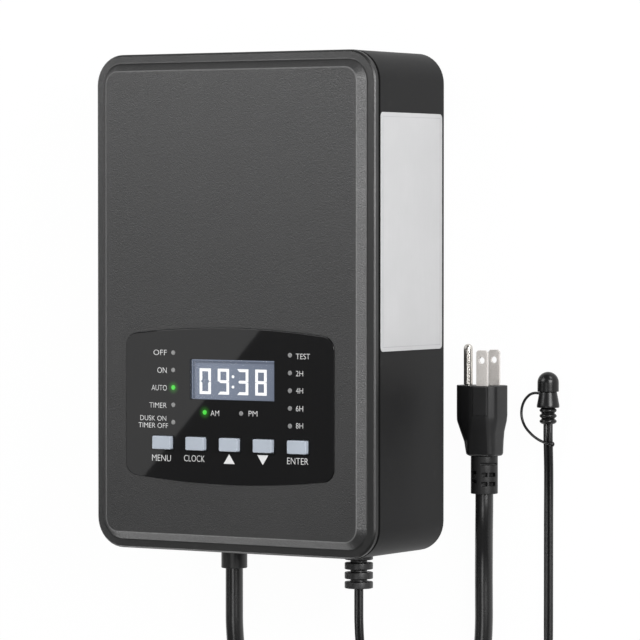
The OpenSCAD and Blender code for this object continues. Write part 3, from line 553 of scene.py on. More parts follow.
@dataclass(frozen=True)
class Backlit(Finish):
    """The display's lit ground: blue grey, with painted shade along its left and upper edges inside a painted pale
    rim, and darker towards the right.

    Each band is given for the left and for the upper edge, as the widths where it starts and is full.
    """

    low: Flat
    high: Flat
    colour: Colour = (0.27, 0.315, 0.42)
    shade: Colour = (0.12, 0.14, 0.2)
    strength: float = 0.69
    # edge is the band of painted shade, rim the band of painted highlight
    edge: tuple[Flat, Flat] = ((2.4, 1.7), (2.1, 1.5))
    rim: tuple[Flat, Flat] = ((0.7, 0.5), (0.7, 0.5))
    far: float = 20
    grounds: tuple[Colour, Colour] = ((0.03, 0.035, 0.045), (0.045, 0.05, 0.06))

    def band(self, shader: Shader, widths: tuple[Flat, Flat]) -> Value:
        """Returns 1 along the left and upper edges and 0 inside them."""
        left = shader.axis(0).between(*((self.low[0] + width) * MM for width in widths[0]))
        return left.most(shader.axis(1).between(*((self.high[1] - width) * MM for width in widths[1])))

    def build(self) -> bpy.types.Material:
        """Makes the material.

        Returns:
            The material.
        """
        constants = {"Emission Strength": self.strength, "Specular IOR Level": 0.2, "Roughness": 0.6}
        shader = Shader(self.name, constants)
        lines = shader.noise(0.5, 2, shader.places(stretch=(1, 0.1, 1)))
        # darker towards the right
        far = shader.axis(0).between((self.low[0] + self.far) * MM, self.high[0] * MM) * 0.45
        # painted shade along the left and upper edges, as under the window's edge
        shaded = self.band(shader, self.edge).most(far) + lines * 0.08
        ground = shader.blend(shaded, self.colour, self.shade)
        # painted highlight: a pale rim along the left and upper edges
        tone = shader.blend(self.band(shader, self.rim), ground, toned(self.colour, 1.15))
        shader.feed("Emission Color", tone)
        shader.feed("Base Color", shader.blend(lines, *self.grounds))
        return shader.material


@dataclass(frozen=True)
class Pane(Finish):
    """The thin clear pane over the display."""

    alpha: float = 0.1
    colour: Colour = (0.1, 0.12, 0.15)

    def build(self) -> bpy.types.Material:
        """Makes the material.

        Returns:
            The material.
        """
        shader = Shader(self.name, {"Base Color": (*self.colour, 1), "Specular IOR Level": 0.4})
        haze = shader.noise(14, 4)
        shader.feed("Roughness", 0.06 + haze * 0.05)
        shader.feed("Alpha", self.alpha + haze * 0.04)
        return shader.material


@dataclass(frozen=True)
class Glowing(Finish):
    """Lit strokes of the display."""

    colour: Colour
    unlit: Colour = (0.4, 0.4, 0.4)

    def build(self) -> bpy.types.Material:
        """Makes the material.

        Returns:
            The material.
        """
        shader = Shader(self.name, {"Emission Strength": 1.0, "Roughness": 0.5})
        spread = shader.noise(1.6, 2)
        shader.feed("Emission Color", shader.blend(spread, toned(self.colour, 0.93), self.colour))
        shader.feed("Base Color", shader.blend(spread, toned(self.unlit, 0.75), self.unlit))
        return shader.material


@dataclass(frozen=True)
class Foil(Finish):
    """The blank rating label: a matt silver film with a faint roll direction."""

    colour: Colour = (0.415, 0.415, 0.42)

    def build(self) -> bpy.types.Material:
        """Makes the material.

        Returns:
            The material.
        """
        shader = Shader(self.name, {"Specular IOR Level": 0.3, "Metallic": 0.15})
        rolled = shader.noise(1.2, 3, shader.places(stretch=(1, 0.05, 1)))
        cloud = shader.noise(30, 3).between(0.3, 0.7)
        tone = shader.blend(cloud, toned(self.colour, 0.95), self.colour)
        shader.feed("Base Color", shader.blend(rolled * 0.3, tone, toned(self.colour, 0.9)))
        shader.feed("Roughness", 0.42 + rolled * 0.12)
        shader.relief(rolled, 0.006)
        return shader.material


@dataclass(frozen=True)
class Masked(Finish):
    """A circuit board's green mask over copper tracks and pads."""

    mask: Colour = (0.012, 0.11, 0.05)
    track: Colour = (0.03, 0.2, 0.09)
    pad: Colour = (0.7, 0.68, 0.6)

    def build(self) -> bpy.types.Material:
        """Makes the material.

        Returns:
            The material.
        """
        shader = Shader(self.name, {"Specular IOR Level": 0.5, "Coat Weight": 0.4})
        runs = shader.cells(7, shader.places(stretch=(1, 0.35, 1)), "DISTANCE_TO_EDGE").between(0.07, 0.03)
        cross = shader.cells(9, shader.places(stretch=(0.3, 1, 1)), "DISTANCE_TO_EDGE").between(0.06, 0.025)
        pads = shader.cells(3.8).between(0.2, 0.16)
        tracks = runs.most(cross)
        shader.feed("Base Color", shader.blend(pads, shader.blend(tracks, self.mask, self.track), self.pad))
        shader.feed("Metallic", pads * 0.9)
        shader.feed("Roughness", 0.34 - pads * 0.12)
        shader.relief(tracks.most(pads), 0.035)
        return shader.material


@dataclass(frozen=True)
class Enamel(Finish):
    """Enamelled copper wire under a coat of varnish."""

    colour: Colour = (0.42, 0.17, 0.045)

    def build(self) -> bpy.types.Material:
        """Makes the material.

        Returns:
            The material.
        """
        shader = Shader(self.name, {"Metallic": 0.75, "Coat Weight": 0.6, "Coat Roughness": 0.2})
        pools = shader.noise(12, 4).between(0.35, 0.75)
        drawn = shader.noise(0.5, 3)
        tone = shader.blend(drawn, toned(self.colour, 0.8), self.colour)
        shader.feed("Base Color", shader.blend(pools * 0.6, tone, toned(self.colour, 0.5)))
        shader.feed("Roughness", 0.3 + pools * 0.2)
        shader.relief(drawn, 0.02)
        return shader.material


# Modelling steps


class Piece:
    """A piece on the bench: shaped by edit-mode operators and modifiers, then dressed and set on its body."""

    def __init__(self, thing: bpy.types.Object, name: str) -> None:
        """Takes over an object and names it.

        Args:
            thing: the object.
            name: the piece's name.
        """
        thing.name = thing.data.name = name
        self.thing = thing
        self.name = name

    @classmethod
    def added(cls, name: str, primitive: Callable[..., object], **settings: object) -> "Piece":
        """Adds a primitive while nothing else is selected.

        Args:
            name: the piece's name.
            primitive: the operator that adds it.
            settings: the operator's settings.

        Returns:
            The piece.
        """
        bpy.ops.object.select_all(action="DESELECT")
        primitive(**settings)
        return cls(bpy.context.object, name)

    @classmethod
    def block(cls, name: str, low: Vector, high: Vector) -> "Piece":
        """Returns a box from its lowest to its highest corner."""
        cube = cls.added(name, bpy.ops.mesh.primitive_cube_add, size=1, location=(low + high) / 2, scale=high - low)
        return cube.settle()

    @classmethod
    def rod(cls, name: str, radius: float, start: Vector, end: Vector, sides: int = 48) -> "Piece":
        """Makes a cylinder.

        Args:
            name: the piece's name.
            radius: its radius in millimetres.
            start: the middle of one end, in metres.
            end: the middle of the other end.
            sides: the number of its sides.

        Returns:
            The cylinder.
        """
        along = end - start
        return cls.added(
            name,
            bpy.ops.mesh.primitive_cylinder_add,
            vertices=sides,
            radius=radius * MM,
            depth=along.length,
            location=(start + end) / 2,
            rotation=along.to_track_quat("Z", "Y").to_euler(),
        ).settle()

    @classmethod
    def outline(cls, name: str, points: list[Vector]) -> "Piece":
        """Makes one flat face, from a circle whose points are set in order.

        Args:
            name: the piece's name.
            points: the face's corners in metres.

        Returns:
            The face.
        """
        circle = bpy.ops.mesh.primitive_circle_add
        piece = cls.added(name, circle, vertices=len(points), radius=1, fill_type="NGON")
        for vertex, place in zip(piece.thing.data.vertices, points):
            vertex.co = place
        return piece.settle()

    @classmethod
    def copy_of(cls, node: str, name: str = "") -> "Piece":
        """Copies a CAD node and merges its loose triangles into whole faces.

        Args:
            node: the CAD node.
            name: the piece's name, or the node's with "_dressed" added.

        Returns:
            The copy.
        """
        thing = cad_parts[node].copy()
        thing.data = thing.data.copy()
        thing.parent = None
        for key in list(thing.keys()):
            del thing[key]
        bpy.context.scene.collection.objects.link(thing)
        thing.data.materials.clear()
        piece = cls(thing, name or f"{node}_dressed")
        with piece.edit(Edit.FACES):
            bpy.ops.mesh.select_all(action="SELECT")
            bpy.ops.mesh.customdata_custom_splitnormals_clear()
            bpy.ops.mesh.remove_doubles(threshold=0.002 * MM)
            bpy.ops.mesh.dissolve_limited(angle_limit=math.radians(0.4))
        return piece

    @classmethod
    def merged(cls, name: str, pieces: list["Piece"]) -> "Piece":
        """Returns several pieces as one, under a new name."""
        return cls(pieces[0].join(pieces[1:]).thing, name)

    def choose(self) -> None:
        """Makes this the only selected object."""
        bpy.ops.object.select_all(action="DESELECT")
        self.thing.select_set(True)
        bpy.context.view_layer.objects.active = self.thing

    def settle(self) -> "Piece":
        """Moves the object's place, turn and size into its mesh.

        Returns:
            The piece itself.
        """
        self.choose()
        bpy.ops.object.transform_apply(location=True, rotation=True, scale=True)
        return self

    @contextmanager
    def edit(self, mode: Edit) -> Iterator[None]:
        """Opens the mesh for editing, with nothing selected.

        Args:
            mode: what is selected in it.

        Yields:
            Nothing.
        """
        self.choose()
        bpy.ops.object.mode_set(mode="EDIT")
        bpy.ops.mesh.select_mode(type=mode.value)
        bpy.ops.mesh.select_all(action="DESELECT")
        yield
        bpy.ops.object.mode_set(mode="OBJECT")

    def face_out(self) -> None:
        """Turns all faces of the mesh that is being edited outwards."""
        bpy.ops.mesh.select_all(action="SELECT")
        bpy.ops.mesh.normals_make_consistent(inside=False)

    def pick_faces(self, test: Callable[[Vector], bool]) -> None:
        """Selects the faces whose normal passes a test.

        Args:
            test: gets a face's normal.
        """
        work = bmesh.from_edit_mesh(self.thing.data)
        for face in work.faces:
            face.select_set(test(face.normal))
        bmesh.update_edit_mesh(self.thing.data)

    def pick_edges(self, test: Callable[[Vector, Vector], bool]) -> None:
        """Selects the edges that pass a test.

        Args:
            test: gets the places of an edge's two ends, in metres.
        """
        work = bmesh.from_edit_mesh(self.thing.data)
        for edge in work.edges:
            edge.select_set(test(edge.verts[0].co, edge.verts[1].co))
        bmesh.update_edit_mesh(self.thing.data)

    def raised(self, height: float) -> "Piece":
        """Thickens a flat outline along Z.

        Args:
            height: its height in millimetres.

        Returns:
            The piece itself.
        """
        with self.edit(Edit.FACES):
            bpy.ops.mesh.select_all(action="SELECT")
            bpy.ops.mesh.extrude_region_move(TRANSFORM_OT_translate={"value": (0, 0, height * MM)})
            self.face_out()
        return self

    def modify(self, kind: str, **settings: object) -> "Piece":
        """Adds a modifier and applies it.

        Args:
            kind: the modifier's type.
            settings: its settings.

        Returns:
            The piece itself.
        """
        self.choose()
        modifier = self.thing.modifiers.new(kind.lower(), kind)
        for key, value in settings.items():
            setattr(modifier, key, value)
        bpy.ops.object.modifier_apply(modifier=modifier.name)
        return self

    def soften(
        self,
        width: float,
        weight: Callable[[Vector], float] = lambda middle: 1.0,
        sharp: float = 28,
        segments: int = 3,
    ) -> "Piece":
        """Rounds the sharp edges.

        Args:
            width: the width in millimetres of an edge with weight 1.
            weight: gives the weight of an edge from its middle, in metres; 0 leaves it sharp.
            sharp: the least angle in degrees between an edge's two faces.
            segments: the steps across each rounding.

        Returns:
            The piece itself.
        """
        mesh = self.thing.data
        work = bmesh.new()
        work.from_mesh(mesh)
        values = [0.0] * len(work.edges)
        for edge in work.edges:
            if len(edge.link_faces) == 2 and edge.calc_face_angle(0) > math.radians(sharp):
                values[edge.index] = weight((edge.verts[0].co + edge.verts[1].co) / 2)
        work.free()
        mesh.attributes.new("bevel_weight_edge", "FLOAT", "EDGE").data.foreach_set("value", values)
        self.modify("BEVEL", limit_method="WEIGHT", width=width * MM, segments=segments, use_clamp_overlap=False)
        left = mesh.attributes.get("bevel_weight_edge")
        if left:
            mesh.attributes.remove(left)
        return self

    def cut(self, tool: "Piece") -> "Piece":
        """Takes another piece's shape out of this one and throws the other away.

        Args:
            tool: the other piece.

        Returns:
            The piece itself.
        """
        self.modify("BOOLEAN", operation="DIFFERENCE", object=tool.thing, solver="EXACT")
        bpy.data.objects.remove(tool.thing)
        return self

    def join(self, others: list["Piece"]) -> "Piece":
        """Takes other pieces into this one's mesh.

        Args:
            others: the other pieces.

        Returns:
            The piece itself.
        """
        self.choose()
        for other in others:
            other.thing.select_set(True)
        bpy.ops.object.join()
        return self

    def copy(self, name: str, place: Matrix) -> "Piece":
        """Copies the piece with its mesh.

        Args:
            name: the copy's name.
            place: the move and turn of its mesh.

        Returns:
            The copy.
        """
        thing = self.thing.copy()
        thing.data = thing.data.copy()
        bpy.context.scene.collection.objects.link(thing)
        thing.data.transform(place)
        return Piece(thing, name)

    def smooth(self, angle: float = 32) -> "Piece":
        """Shades smoothly over flat edges, with the large faces left flat.

        Args:
            angle: the angle in degrees from which an edge stays sharp.

        Returns:
            The piece itself.
        """
        self.choose()
        bpy.ops.object.shade_smooth_by_angle(angle=math.radians(angle))
        return self.modify("WEIGHTED_NORMAL", keep_sharp=True)

    def finish(
        self, finish: Finish, slot: str, body: Body = Body.BOX, replaces: tuple[str, ...] = ()
    ) -> bpy.types.Object:
        """Gives the piece its finish and its body.

        Args:
            finish: the finish.
            slot: the record's material slot; not used.
            body: the body that it moves with.
            replaces: the CAD nodes that it stands for.

        Returns:
            The finished object.
        """
        self.thing.data.materials.clear()
        self.thing.data.materials.append(material_of(finish))
        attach(self.thing, body.value)
        if replaces:
            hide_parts(*replaces)
        log.info("%s: %d faces on %s", self.name, len(self.thing.data.polygons), body.value)
        return self.thing


def dress(node: str, finish: Finish, slot: str, width: float, body: Body = Body.BOX) -> bpy.types.Object:
    """Stands a copy of a CAD node in for it, with all its sharp edges rounded.

    Args:
        node: the CAD node.
        finish: its finish.
        slot: the record's material slot.
        width: the rounding in millimetres.
        body: the body that it moves with.

    Returns:
        The dressed object.
    """
    piece = Piece.copy_of(node)
    sharp = {"limit_method": "ANGLE", "angle_limit": math.radians(30)}
    piece.modify("BEVEL", width=width * MM, segments=2, use_clamp_overlap=True, **sharp)
    return piece.smooth().finish(finish, slot, body, (node,))


def dress_all(finish: Finish, slot: str, widths: dict[str, float]) -> list[bpy.types.Object]:
    """Dresses several CAD nodes of the box in one finish.

    Args:
        finish: their finish.
        slot: the record's material slot.
        widths: the rounding of each in millimetres, by node.

    Returns:
        The dressed objects.
    """
    return [dress(node, finish, slot, width) for node, width in widths.items()]


# Cords


@dataclass(frozen=True)
class Coil:
    """A flat coil that winds in from its rim, drops a layer and winds out again, in millimetres."""

    middle: Flat
    radius: float
    pitch: float
    turns: float
    start: float
    hand: int
    high: float
    low: float
    straight: float
    steps: int = 48

    def route(self) -> list[Vector]:
        """Lays the coil.

        Returns:
            Its line, with a straight end on each side.
        """
        count = round(self.turns * self.steps)
        middle = Vector((*self.middle, 0))
        line = []
        for i in range(count + 1):
            turn = self.turns * i / count
            angle = math.radians(self.start + self.hand * 360 * turn)
            radius = self.radius - self.pitch * min(turn, self.turns - turn)
            level = self.high + (self.low - self.high) * eased(2 * (turn - self.turns / 2) + 0.5)
            line.append(middle + Vector((radius * math.cos(angle), radius * math.sin(angle), level)))
        ends = [math.radians(self.start + self.hand * 360 * turn) for turn in (0, self.turns)]
        away = [Vector((-math.sin(a), math.cos(a), 0)) * self.straight * self.hand for a in ends]
        return [line[0] - away[0], *line, line[-1] + away[1]]


def eased_route(points: tuple[Point, ...], steps: int) -> list[Vector]:
    """Runs a smooth line through points.

    Args:
        points: the points.
        steps: the steps between each two.

    Returns:
        The line's points.
    """
    line = [Vector(p) for p in points]
    line = [2 * line[0] - line[1], *line, 2 * line[-1] - line[-2]]
    result = []
    for a, b, c, d in zip(line, line[1:], line[2:], line[3:]):
        for i in range(steps):
            t = i / steps
            bend = (2 * a - 5 * b + 4 * c - d) * t**2 + (3 * b - a - 3 * c + d) * t**3
            result.append(0.5 * (2 * b + (c - a) * t + bend))
    return [*result, line[-2]]


def round_section(diameter: float, sides: int = 20) -> list[Flat]:
    """Returns a round cord's section."""
    angles = [math.tau * (i + 0.5) / sides for i in range(sides)]
    return [(diameter / 2 * math.cos(a), diameter / 2 * math.sin(a)) for a in angles]


def twin_section(width: float, lobe: float = 1.32, sides: int = 9) -> list[Flat]:
    """Makes the section of two round cords side by side, with a groove between them.

    Args:
        width: the width of both.
        lobe: the radius of one.
        sides: the sides of one.

    Returns:
        The section's points.
    """
    apart = width / 2 - lobe
    open_angle = math.pi - math.acos(apart / lobe)
    angles = [open_angle * (2 * i / sides - 1) for i in range(sides)]
    right = [(apart + lobe * math.cos(a), lobe * math.sin(a)) for a in angles]
    return right + [(-x, -y) for x, y in right]


def sweep(name: str, line: list[Vector], section: list[Flat], rolls: list[float] | None = None) -> Piece:
    """Sweeps a section along a line.

    Args:
        name: the piece's name.
        line: the line's points in millimetres.
        section: the section's points in millimetres, level where the roll is 0.
        rolls: the turn of the section at each point, in degrees.

    Returns:
        The tube, with a UV map that runs round and along it in metres.
    """
    points, along = [], [0.0]
    sides, last = len(section), len(line) - 1
    for i, place in enumerate(line):
        way = (line[min(i + 1, last)] - line[max(i - 1, 0)]).normalized()
        level = way.cross(Vector((0, 0, 1))).normalized()
        over = level.cross(way)
        roll = math.radians(rolls[i]) if rolls else 0.0
        wide = level * math.cos(roll) + over * math.sin(roll)
        thin = over * math.cos(roll) - level * math.sin(roll)
        points += [(place + wide * u + thin * v) * MM for u, v in section]
        if i:
            along.append(along[-1] + (place - line[i - 1]).length * MM)
    faces = []
    for i in range(last):
        here, there = i * sides, (i + 1) * sides
        for k in range(sides):
            after = (k + 1) % sides
            faces.append((here + k, here + after, there + after, there + k))
    faces += [tuple(range(sides - 1, -1, -1)), tuple(last * sides + k for k in range(sides))]
    mesh = bpy.data.meshes.new(name)
    mesh.from_pydata(points, [], faces)
    round_it = sum(math.dist(section[k], section[k - 1]) for k in range(sides)) * MM
    layer = mesh.uv_layers.new(name="sweep")
    for face in mesh.polygons:
        for loop, corner in zip(face.loop_indices, face.vertices):
            ring, spot = divmod(corner, sides)
            closing = face.vertices[0] % sides == sides - 1 and spot == 0
            layer.data[loop].uv = (round_it * (sides if closing else spot) / sides, along[ring])
    thing = bpy.data.objects.new(name, mesh)
    bpy.context.scene.collection.objects.link(thing)
    piece = Piece(thing, name)
    with piece.edit(Edit.FACES):
        piece.face_out()
    return piece


@dataclass(frozen=True)
class Cord:
    """A free cord: a lead out of the box, a coil for what the photograph doesn't show, and a tail.

    A flat cord turns on edge along its lead and back along its tail; the two shares say after which
    part of the way it starts to turn, and for how long it turns.
    """

    name: str
    lead: tuple[Point, ...]
    coil: Coil
    tail: tuple[Point, ...]
    diameter: float
    section: tuple[Flat, ...]
    nodes: tuple[str, ...]
    slot: str
    far_end: str
    flat: bool = False
    lead_turn: Flat = (0.4, 0.55)
    tail_turn: Flat = (0.05, 0.35)
    steps: int = 4

    def line(self) -> tuple[list[Vector], list[float]]:
        """Lays the cord.

        Returns:
            The whole line in millimetres, and the roll at each of its points in degrees.
        """
        lead, coil, tail = eased_route(self.lead, self.steps), self.coil.route(), eased_route(self.tail, self.steps)
        line = lead + coil[1:-1] + tail
        if not self.flat:
            return line, [0.0] * len(line)
        (lead_from, lead_for), (tail_from, tail_for) = self.lead_turn, self.tail_turn
        rolls = [90 * eased((i / (len(lead) - 1) - lead_from) / lead_for) for i in range(len(lead))]
        rolls += [90.0] * (len(coil) - 2)
        rolls += [90 - 90 * eased((i / (len(tail) - 1) - tail_from) / tail_for) for i in range(len(tail))]
        return line, rolls

    def build(self, jacket: Finish, with_pieces: list[bpy.types.Object]) -> None:
        """Args:
            jacket: the jacket's finish.
            with_pieces: what hangs on its far end; not used.
        """
        line, rolls = self.line()
        tube = sweep(self.name, line, list(self.section), rolls).smooth(50)
        thing = tube.finish(jacket, self.slot, replaces=self.nodes)
        length = sum((b - a).length for a, b in zip(line, line[1:]))
        self.diameter * MM
        [p * MM for p in line]
        log.info("%s is %.0f mm long", self.name, length)


# The box


@dataclass
class Cabinet:
    """The case, its cover and seal, a black strip as painted shade in the seam, the cover screws and the blank
    label.
    """

    width: float = 172.5
    height: float = 260
    joint: float = 65.2
    rim: float = 70
    panel: float = 74.2
    corner: float = 16
    lip: float = 2.5
    pocket_middle: float = -53.6
    pocket: Flat = (66, 43)
    # the black strip at the joint, as the seal's edge and painted shade in the seam
    seam_shade_proud: float = 0.04
    seam_shade_height: float = 1.7
    seam_shade_wall: float = 0.4
    label: tuple[Point, Point] = ((86.25, -23.9, 3.2), (86.5, 98.1, 65.0))
    label_corner: float = 2.2
    border_inset: float = 2
    border_width: float = 0.35

    def near(self, value: float, level: float) -> bool:
        """Tells whether a coordinate in metres is at a level in millimetres."""
        return abs(value / MM - level) < 0.08

    def inset(self, place: Vector) -> float:
        """Measures how far a place lies inside the box's outline.

        Args:
            place: the place in metres.

        Returns:
            The distance in millimetres.
        """
        over_x = abs(place.x) / MM - self.width / 2 + self.corner
        over_y = abs(place.y) / MM - self.height / 2 + self.corner
        if over_x > 0 and over_y > 0:
            return self.corner - math.hypot(over_x, over_y)
        return self.corner - max(over_x, over_y)

    def case_weight(self, middle: Vector) -> float:
        """Weighs an edge of the case: a soft back edge, a fine lip at the joint and eased openings.

        Args:
            middle: the edge's middle.

        Returns:
            Its weight.
        """
        over_x, over_y = abs(middle.x) / MM - self.width / 2, abs(middle.y) / MM - self.height / 2
        outer = max(over_x, over_y) > -0.2 or min(over_x, over_y) > -self.corner - 0.5
        if outer and self.near(middle.z, 0):
            return 1.0
        if outer and self.near(middle.z, self.joint):
            return 0.25
        return 0.2 if self.near(middle.y, -self.height / 2) or self.near(middle.z, 0) else 0.0

    def cover_weight(self, middle: Vector) -> float:
        """Weighs an edge of the cover: its lip, the foot and the head of the slope, and the fascia's pocket.

        Args:
            middle: the edge's middle.

        Returns:
            Its weight.
        """
        if self.near(middle.z, self.panel):
            x, y = abs(middle.x) / MM, abs(middle.y / MM - self.pocket_middle)
            return 0.15 if x < self.pocket[0] and y < self.pocket[1] else 0.75
        if self.near(middle.z, self.rim - 1):
            return 0.3
        if self.near(middle.z, self.rim):
            return 0.3 if self.inset(middle) < self.lip else 1.0
        return 0.5 if self.near(middle.z, self.joint) and self.inset(middle) < 0.2 else 0.0

    def build_shells(self) -> None:
        """Rounds the case and the cover."""
        black = Moulded("case_plastic", (0.0065, 0.0065, 0.0068), 0.5, 0.16, grain=0.55, depth=0.035)
        grained = CoverPlastic(
            "cover_plastic", (0.018, 0.018, 0.0182), 0.42, 0.5, grain=0.6, depth=0.17, patch=0.05, speckle=0.45
        )
        case, cover = Piece.copy_of("rear_case"), Piece.copy_of("front_cover")
        case.soften(1.4, self.case_weight).smooth().finish(black, "case", replaces=("rear_case",))
        cover.soften(0.7, self.cover_weight).smooth().finish(grained, "cover", replaces=("front_cover",))

    def build_seal(self) -> None:
        """Dresses the seal, and adds a black strip round the joint, the seal's visible edge and painted shade in
        the seam round the box.
        """
        rubber = Moulded("seal_rubber", (0.002, 0.002, 0.002), 0.8, 0.05)
        dress("cover_gasket", rubber, "seal", 0.1)
        # painted shade: a black strip just proud of the outline at the joint, shown as the seal's edge
        wide, high, radius = (size + self.seam_shade_proud for size in (self.width / 2, self.height / 2, self.corner))
        points = [mm(x, y, self.joint - 0.1) for x, y in rounded_outline(wide, high, radius, 24)]
        piece = Piece.outline("seal_lip", points)
        with piece.edit(Edit.EDGES):
            bpy.ops.mesh.select_all(action="SELECT")
            bpy.ops.mesh.delete(type="ONLY_FACE")
            bpy.ops.mesh.select_all(action="SELECT")
            bpy.ops.mesh.extrude_edges_move(TRANSFORM_OT_translate={"value": (0, 0, self.seam_shade_height * MM)})
            piece.face_out()
        piece.modify("SOLIDIFY", thickness=self.seam_shade_wall * MM, offset=-1)
        piece.smooth().finish(rubber, "seal")

    def build_label(self) -> None:
        """Makes the blank label: a thin film with rounded corners and a fine printed border."""
        low, high = (mm(*corner) for corner in self.label)
        film = Piece.block("label_film", low, high)
        with film.edit(Edit.EDGES):
            film.pick_edges(lambda a, b: abs(a.x - b.x) > 0.1 * MM)
            bpy.ops.mesh.bevel(offset=self.label_corner * MM, segments=6, affect="EDGES")
        film.soften(0.08).smooth().finish(Foil("label_film"), "label", replaces=("rating_label",))
        inner = mm(0, self.border_inset, self.border_inset)
        face = Vector((high.x, low.y, low.z)) + mm(-0.05, 0, 0)
        border = Piece.block("label_border", face + inner, high + mm(0.03, 0, 0) - inner)
        with border.edit(Edit.FACES):
            border.pick_faces(lambda normal: normal.x > 0.9)
            bpy.ops.mesh.inset(thickness=self.border_width * MM)
            bpy.ops.mesh.delete(type="FACE")
        border.finish(Moulded("border_print", (0.3, 0.3, 0.31), 0.5), "label")

    def build(self) -> None:
        """Builds the whole box."""
        self.build_shells()
        self.build_label()
        self.build_seal()
        dress("cover_screws", Metal("screw_steel", (0.62, 0.62, 0.64), 0.3), "steel", 0.15)


# Front controls


@dataclass(frozen=True)
class Word:
    """A printed word on the fascia: its middle and its size in millimetres."""

    text: str
    x: float
    y: float
    width: float
    height: float


@dataclass
class Controls:
    """The glossy fascia with its print, the display, the keys and the lights.

    Places of the display and the lights are given from the fascia's middle. A figure is written as
    its seven strokes, in the order of stroke_shapes(), with 1 for a lit one.
    """

    middle: Flat = (0, -53.6)
    top: float = 74.6
    inner: Flat = (58, 33)
    face: float = 72.9
    display: Flat = (2.2, 13.8)
    display_size: Flat = (52, 20.6)
    digits_shift: Flat = (-0.25, -0.95)
    digit_places: tuple[float, ...] = (-17.25, -5.95, 5.95, 17.25)
    digit_size: Flat = (6.9, 13.4)
    stroke: float = 1.5
    stroke_height: float = 0.3
    mitre: float = 0.1
    figures: tuple[str, ...] = ("1011111", "1111011", "1110011", "1111111")
    light_radius: float = 1.22
    light_reach: Flat = (-0.1, 0.28)
    lit: tuple[Flat, ...] = ((-34.3, 9.2), (-14.6, -3.3))
    unlit: tuple[Flat, ...] = (
        (-34.3, 27.4), (-34.3, 18.3), (-34.3, 0.1), (-34.3, -9.0), (8, -3.3),
        (37.9, 27.4), (37.9, 18.3), (37.9, 9.2), (37.9, 0.1), (37.9, -9.0),
    )
    print_shift: float = 2.2
    print_height: float = 0.02
    words: tuple[Word, ...] = (
        Word("OFF", -44.8, -26.2, 8.4, 2.8),
        Word("ON", -43.6, -35.5, 5.9, 2.9),
        Word("AUTO", -45.4, -44.7, 9.7, 2.8),
        Word("TIMER", -46.2, -53.9, 10.9, 2.7),
        Word("DUSK ON", -49.2, -60.7, 16.4, 2.6),
        Word("TIMER OFF", -49.2, -64.5, 18.6, 2.6),
        Word("TEST", 43.6, -26.7, 8.5, 2.8),
        Word("2H", 41.5, -35.5, 4.3, 2.8),
        Word("4H", 41.5, -44.3, 4.3, 2.8),
        Word("6H", 41.5, -53.5, 4.3, 2.8),
        Word("8H", 41.5, -62.3, 4.3, 2.8),
        Word("AM", -10.5, -57.2, 5.3, 2.8),
        Word("PM", 13.1, -56.8, 5.4, 2.8),
        Word("MENU", -44.0, -81.5, 11.9, 3.3),
        Word("CLOCK", -23.3, -81.1, 12.9, 3.3),
        Word("ENTER", 40.4, -80.5, 12.8, 3.3),
    )
    letter_offset: float = -0.012
    arrow: Flat = (3.4, 2.55)
    arrows: tuple[tuple[float, float, int], ...] = ((-1.6, -80.7, 1), (19.1, -80.6, -1))

    def spot(self, x: float, y: float, z: float) -> Vector:
        """Returns a place given from the fascia's middle, in metres."""
        return mm(self.middle[0] + x, self.middle[1] + y, z)

    def rim_weight(self, middle: Vector) -> float:
        """Weighs an edge of the fascia: only its upper rim is rounded.

        Args:
            middle: the edge's middle.

        Returns:
            Its weight.
        """
        inside = abs(middle.x / MM) < self.inner[0] and abs(middle.y / MM - self.middle[1]) < self.inner[1]
        return 1.0 if middle.z / MM > self.top - 0.1 and not inside else 0.0

    def build_fascia(self) -> None:
        """Dresses the fascia sheet."""
        piece = Piece.copy_of("control_fascia")
        lit = tuple((self.middle[0] + x, self.middle[1] + y) for x, y in self.lit)
        # the sheet paints a green glow round each lit light
        sheet = Gloss("fascia_sheet", (0.0035, 0.0035, 0.0038), lit)
        piece.soften(0.35, self.rim_weight).smooth(5).finish(sheet, "fascia", replaces=("control_fascia",))

    def build_word(self, word: Word) -> Piece:
        """Makes one word as a flat mesh, scaled to its measured size.

        Args:
            word: the word.

        Returns:
            The mesh.
        """
        text = Piece.added("word", bpy.ops.object.text_add).thing.data
        text.body = word.text
        text.align_x, text.align_y = "CENTER", "CENTER"
        text.offset = self.letter_offset
        text.resolution_u = 4
        bpy.ops.object.convert(target="MESH")
        piece = Piece(bpy.context.object, "word")
        places = [vertex.co for vertex in piece.thing.data.vertices]
        low = Vector(min(place[axis] for place in places) for axis in range(3))
        high = Vector(max(place[axis] for place in places) for axis in range(3))
        size = high - low
        scale = Matrix.Diagonal((word.width * MM / size.x, word.height * MM / size.y, 1, 1))
        place = Matrix.Translation(mm(word.x + self.print_shift, word.y, self.top + self.print_height))
        piece.thing.data.transform(place @ scale @ Matrix.Translation(-(low + high) / 2))
        return piece

    def build_print(self) -> None:
        """Prints the words and arrows on the fascia as one thin mesh."""
        pieces = [self.build_word(word) for word in self.words]
        wide, high = self.arrow
        for x, y, way in self.arrows:
            place = mm(x + self.print_shift, y, self.top + self.print_height)
            corners = ((-wide, -high * way), (wide, -high * way), (0, high * way))[::way]
            pieces.append(Piece.outline("arrow", [place + mm(*corner, 0) for corner in corners]))
        ink = Moulded("white_ink", (0.62, 0.62, 0.62), 0.4, 0.3, patch=0.03)
        Piece.merged("fascia_print", pieces).finish(ink, "label")

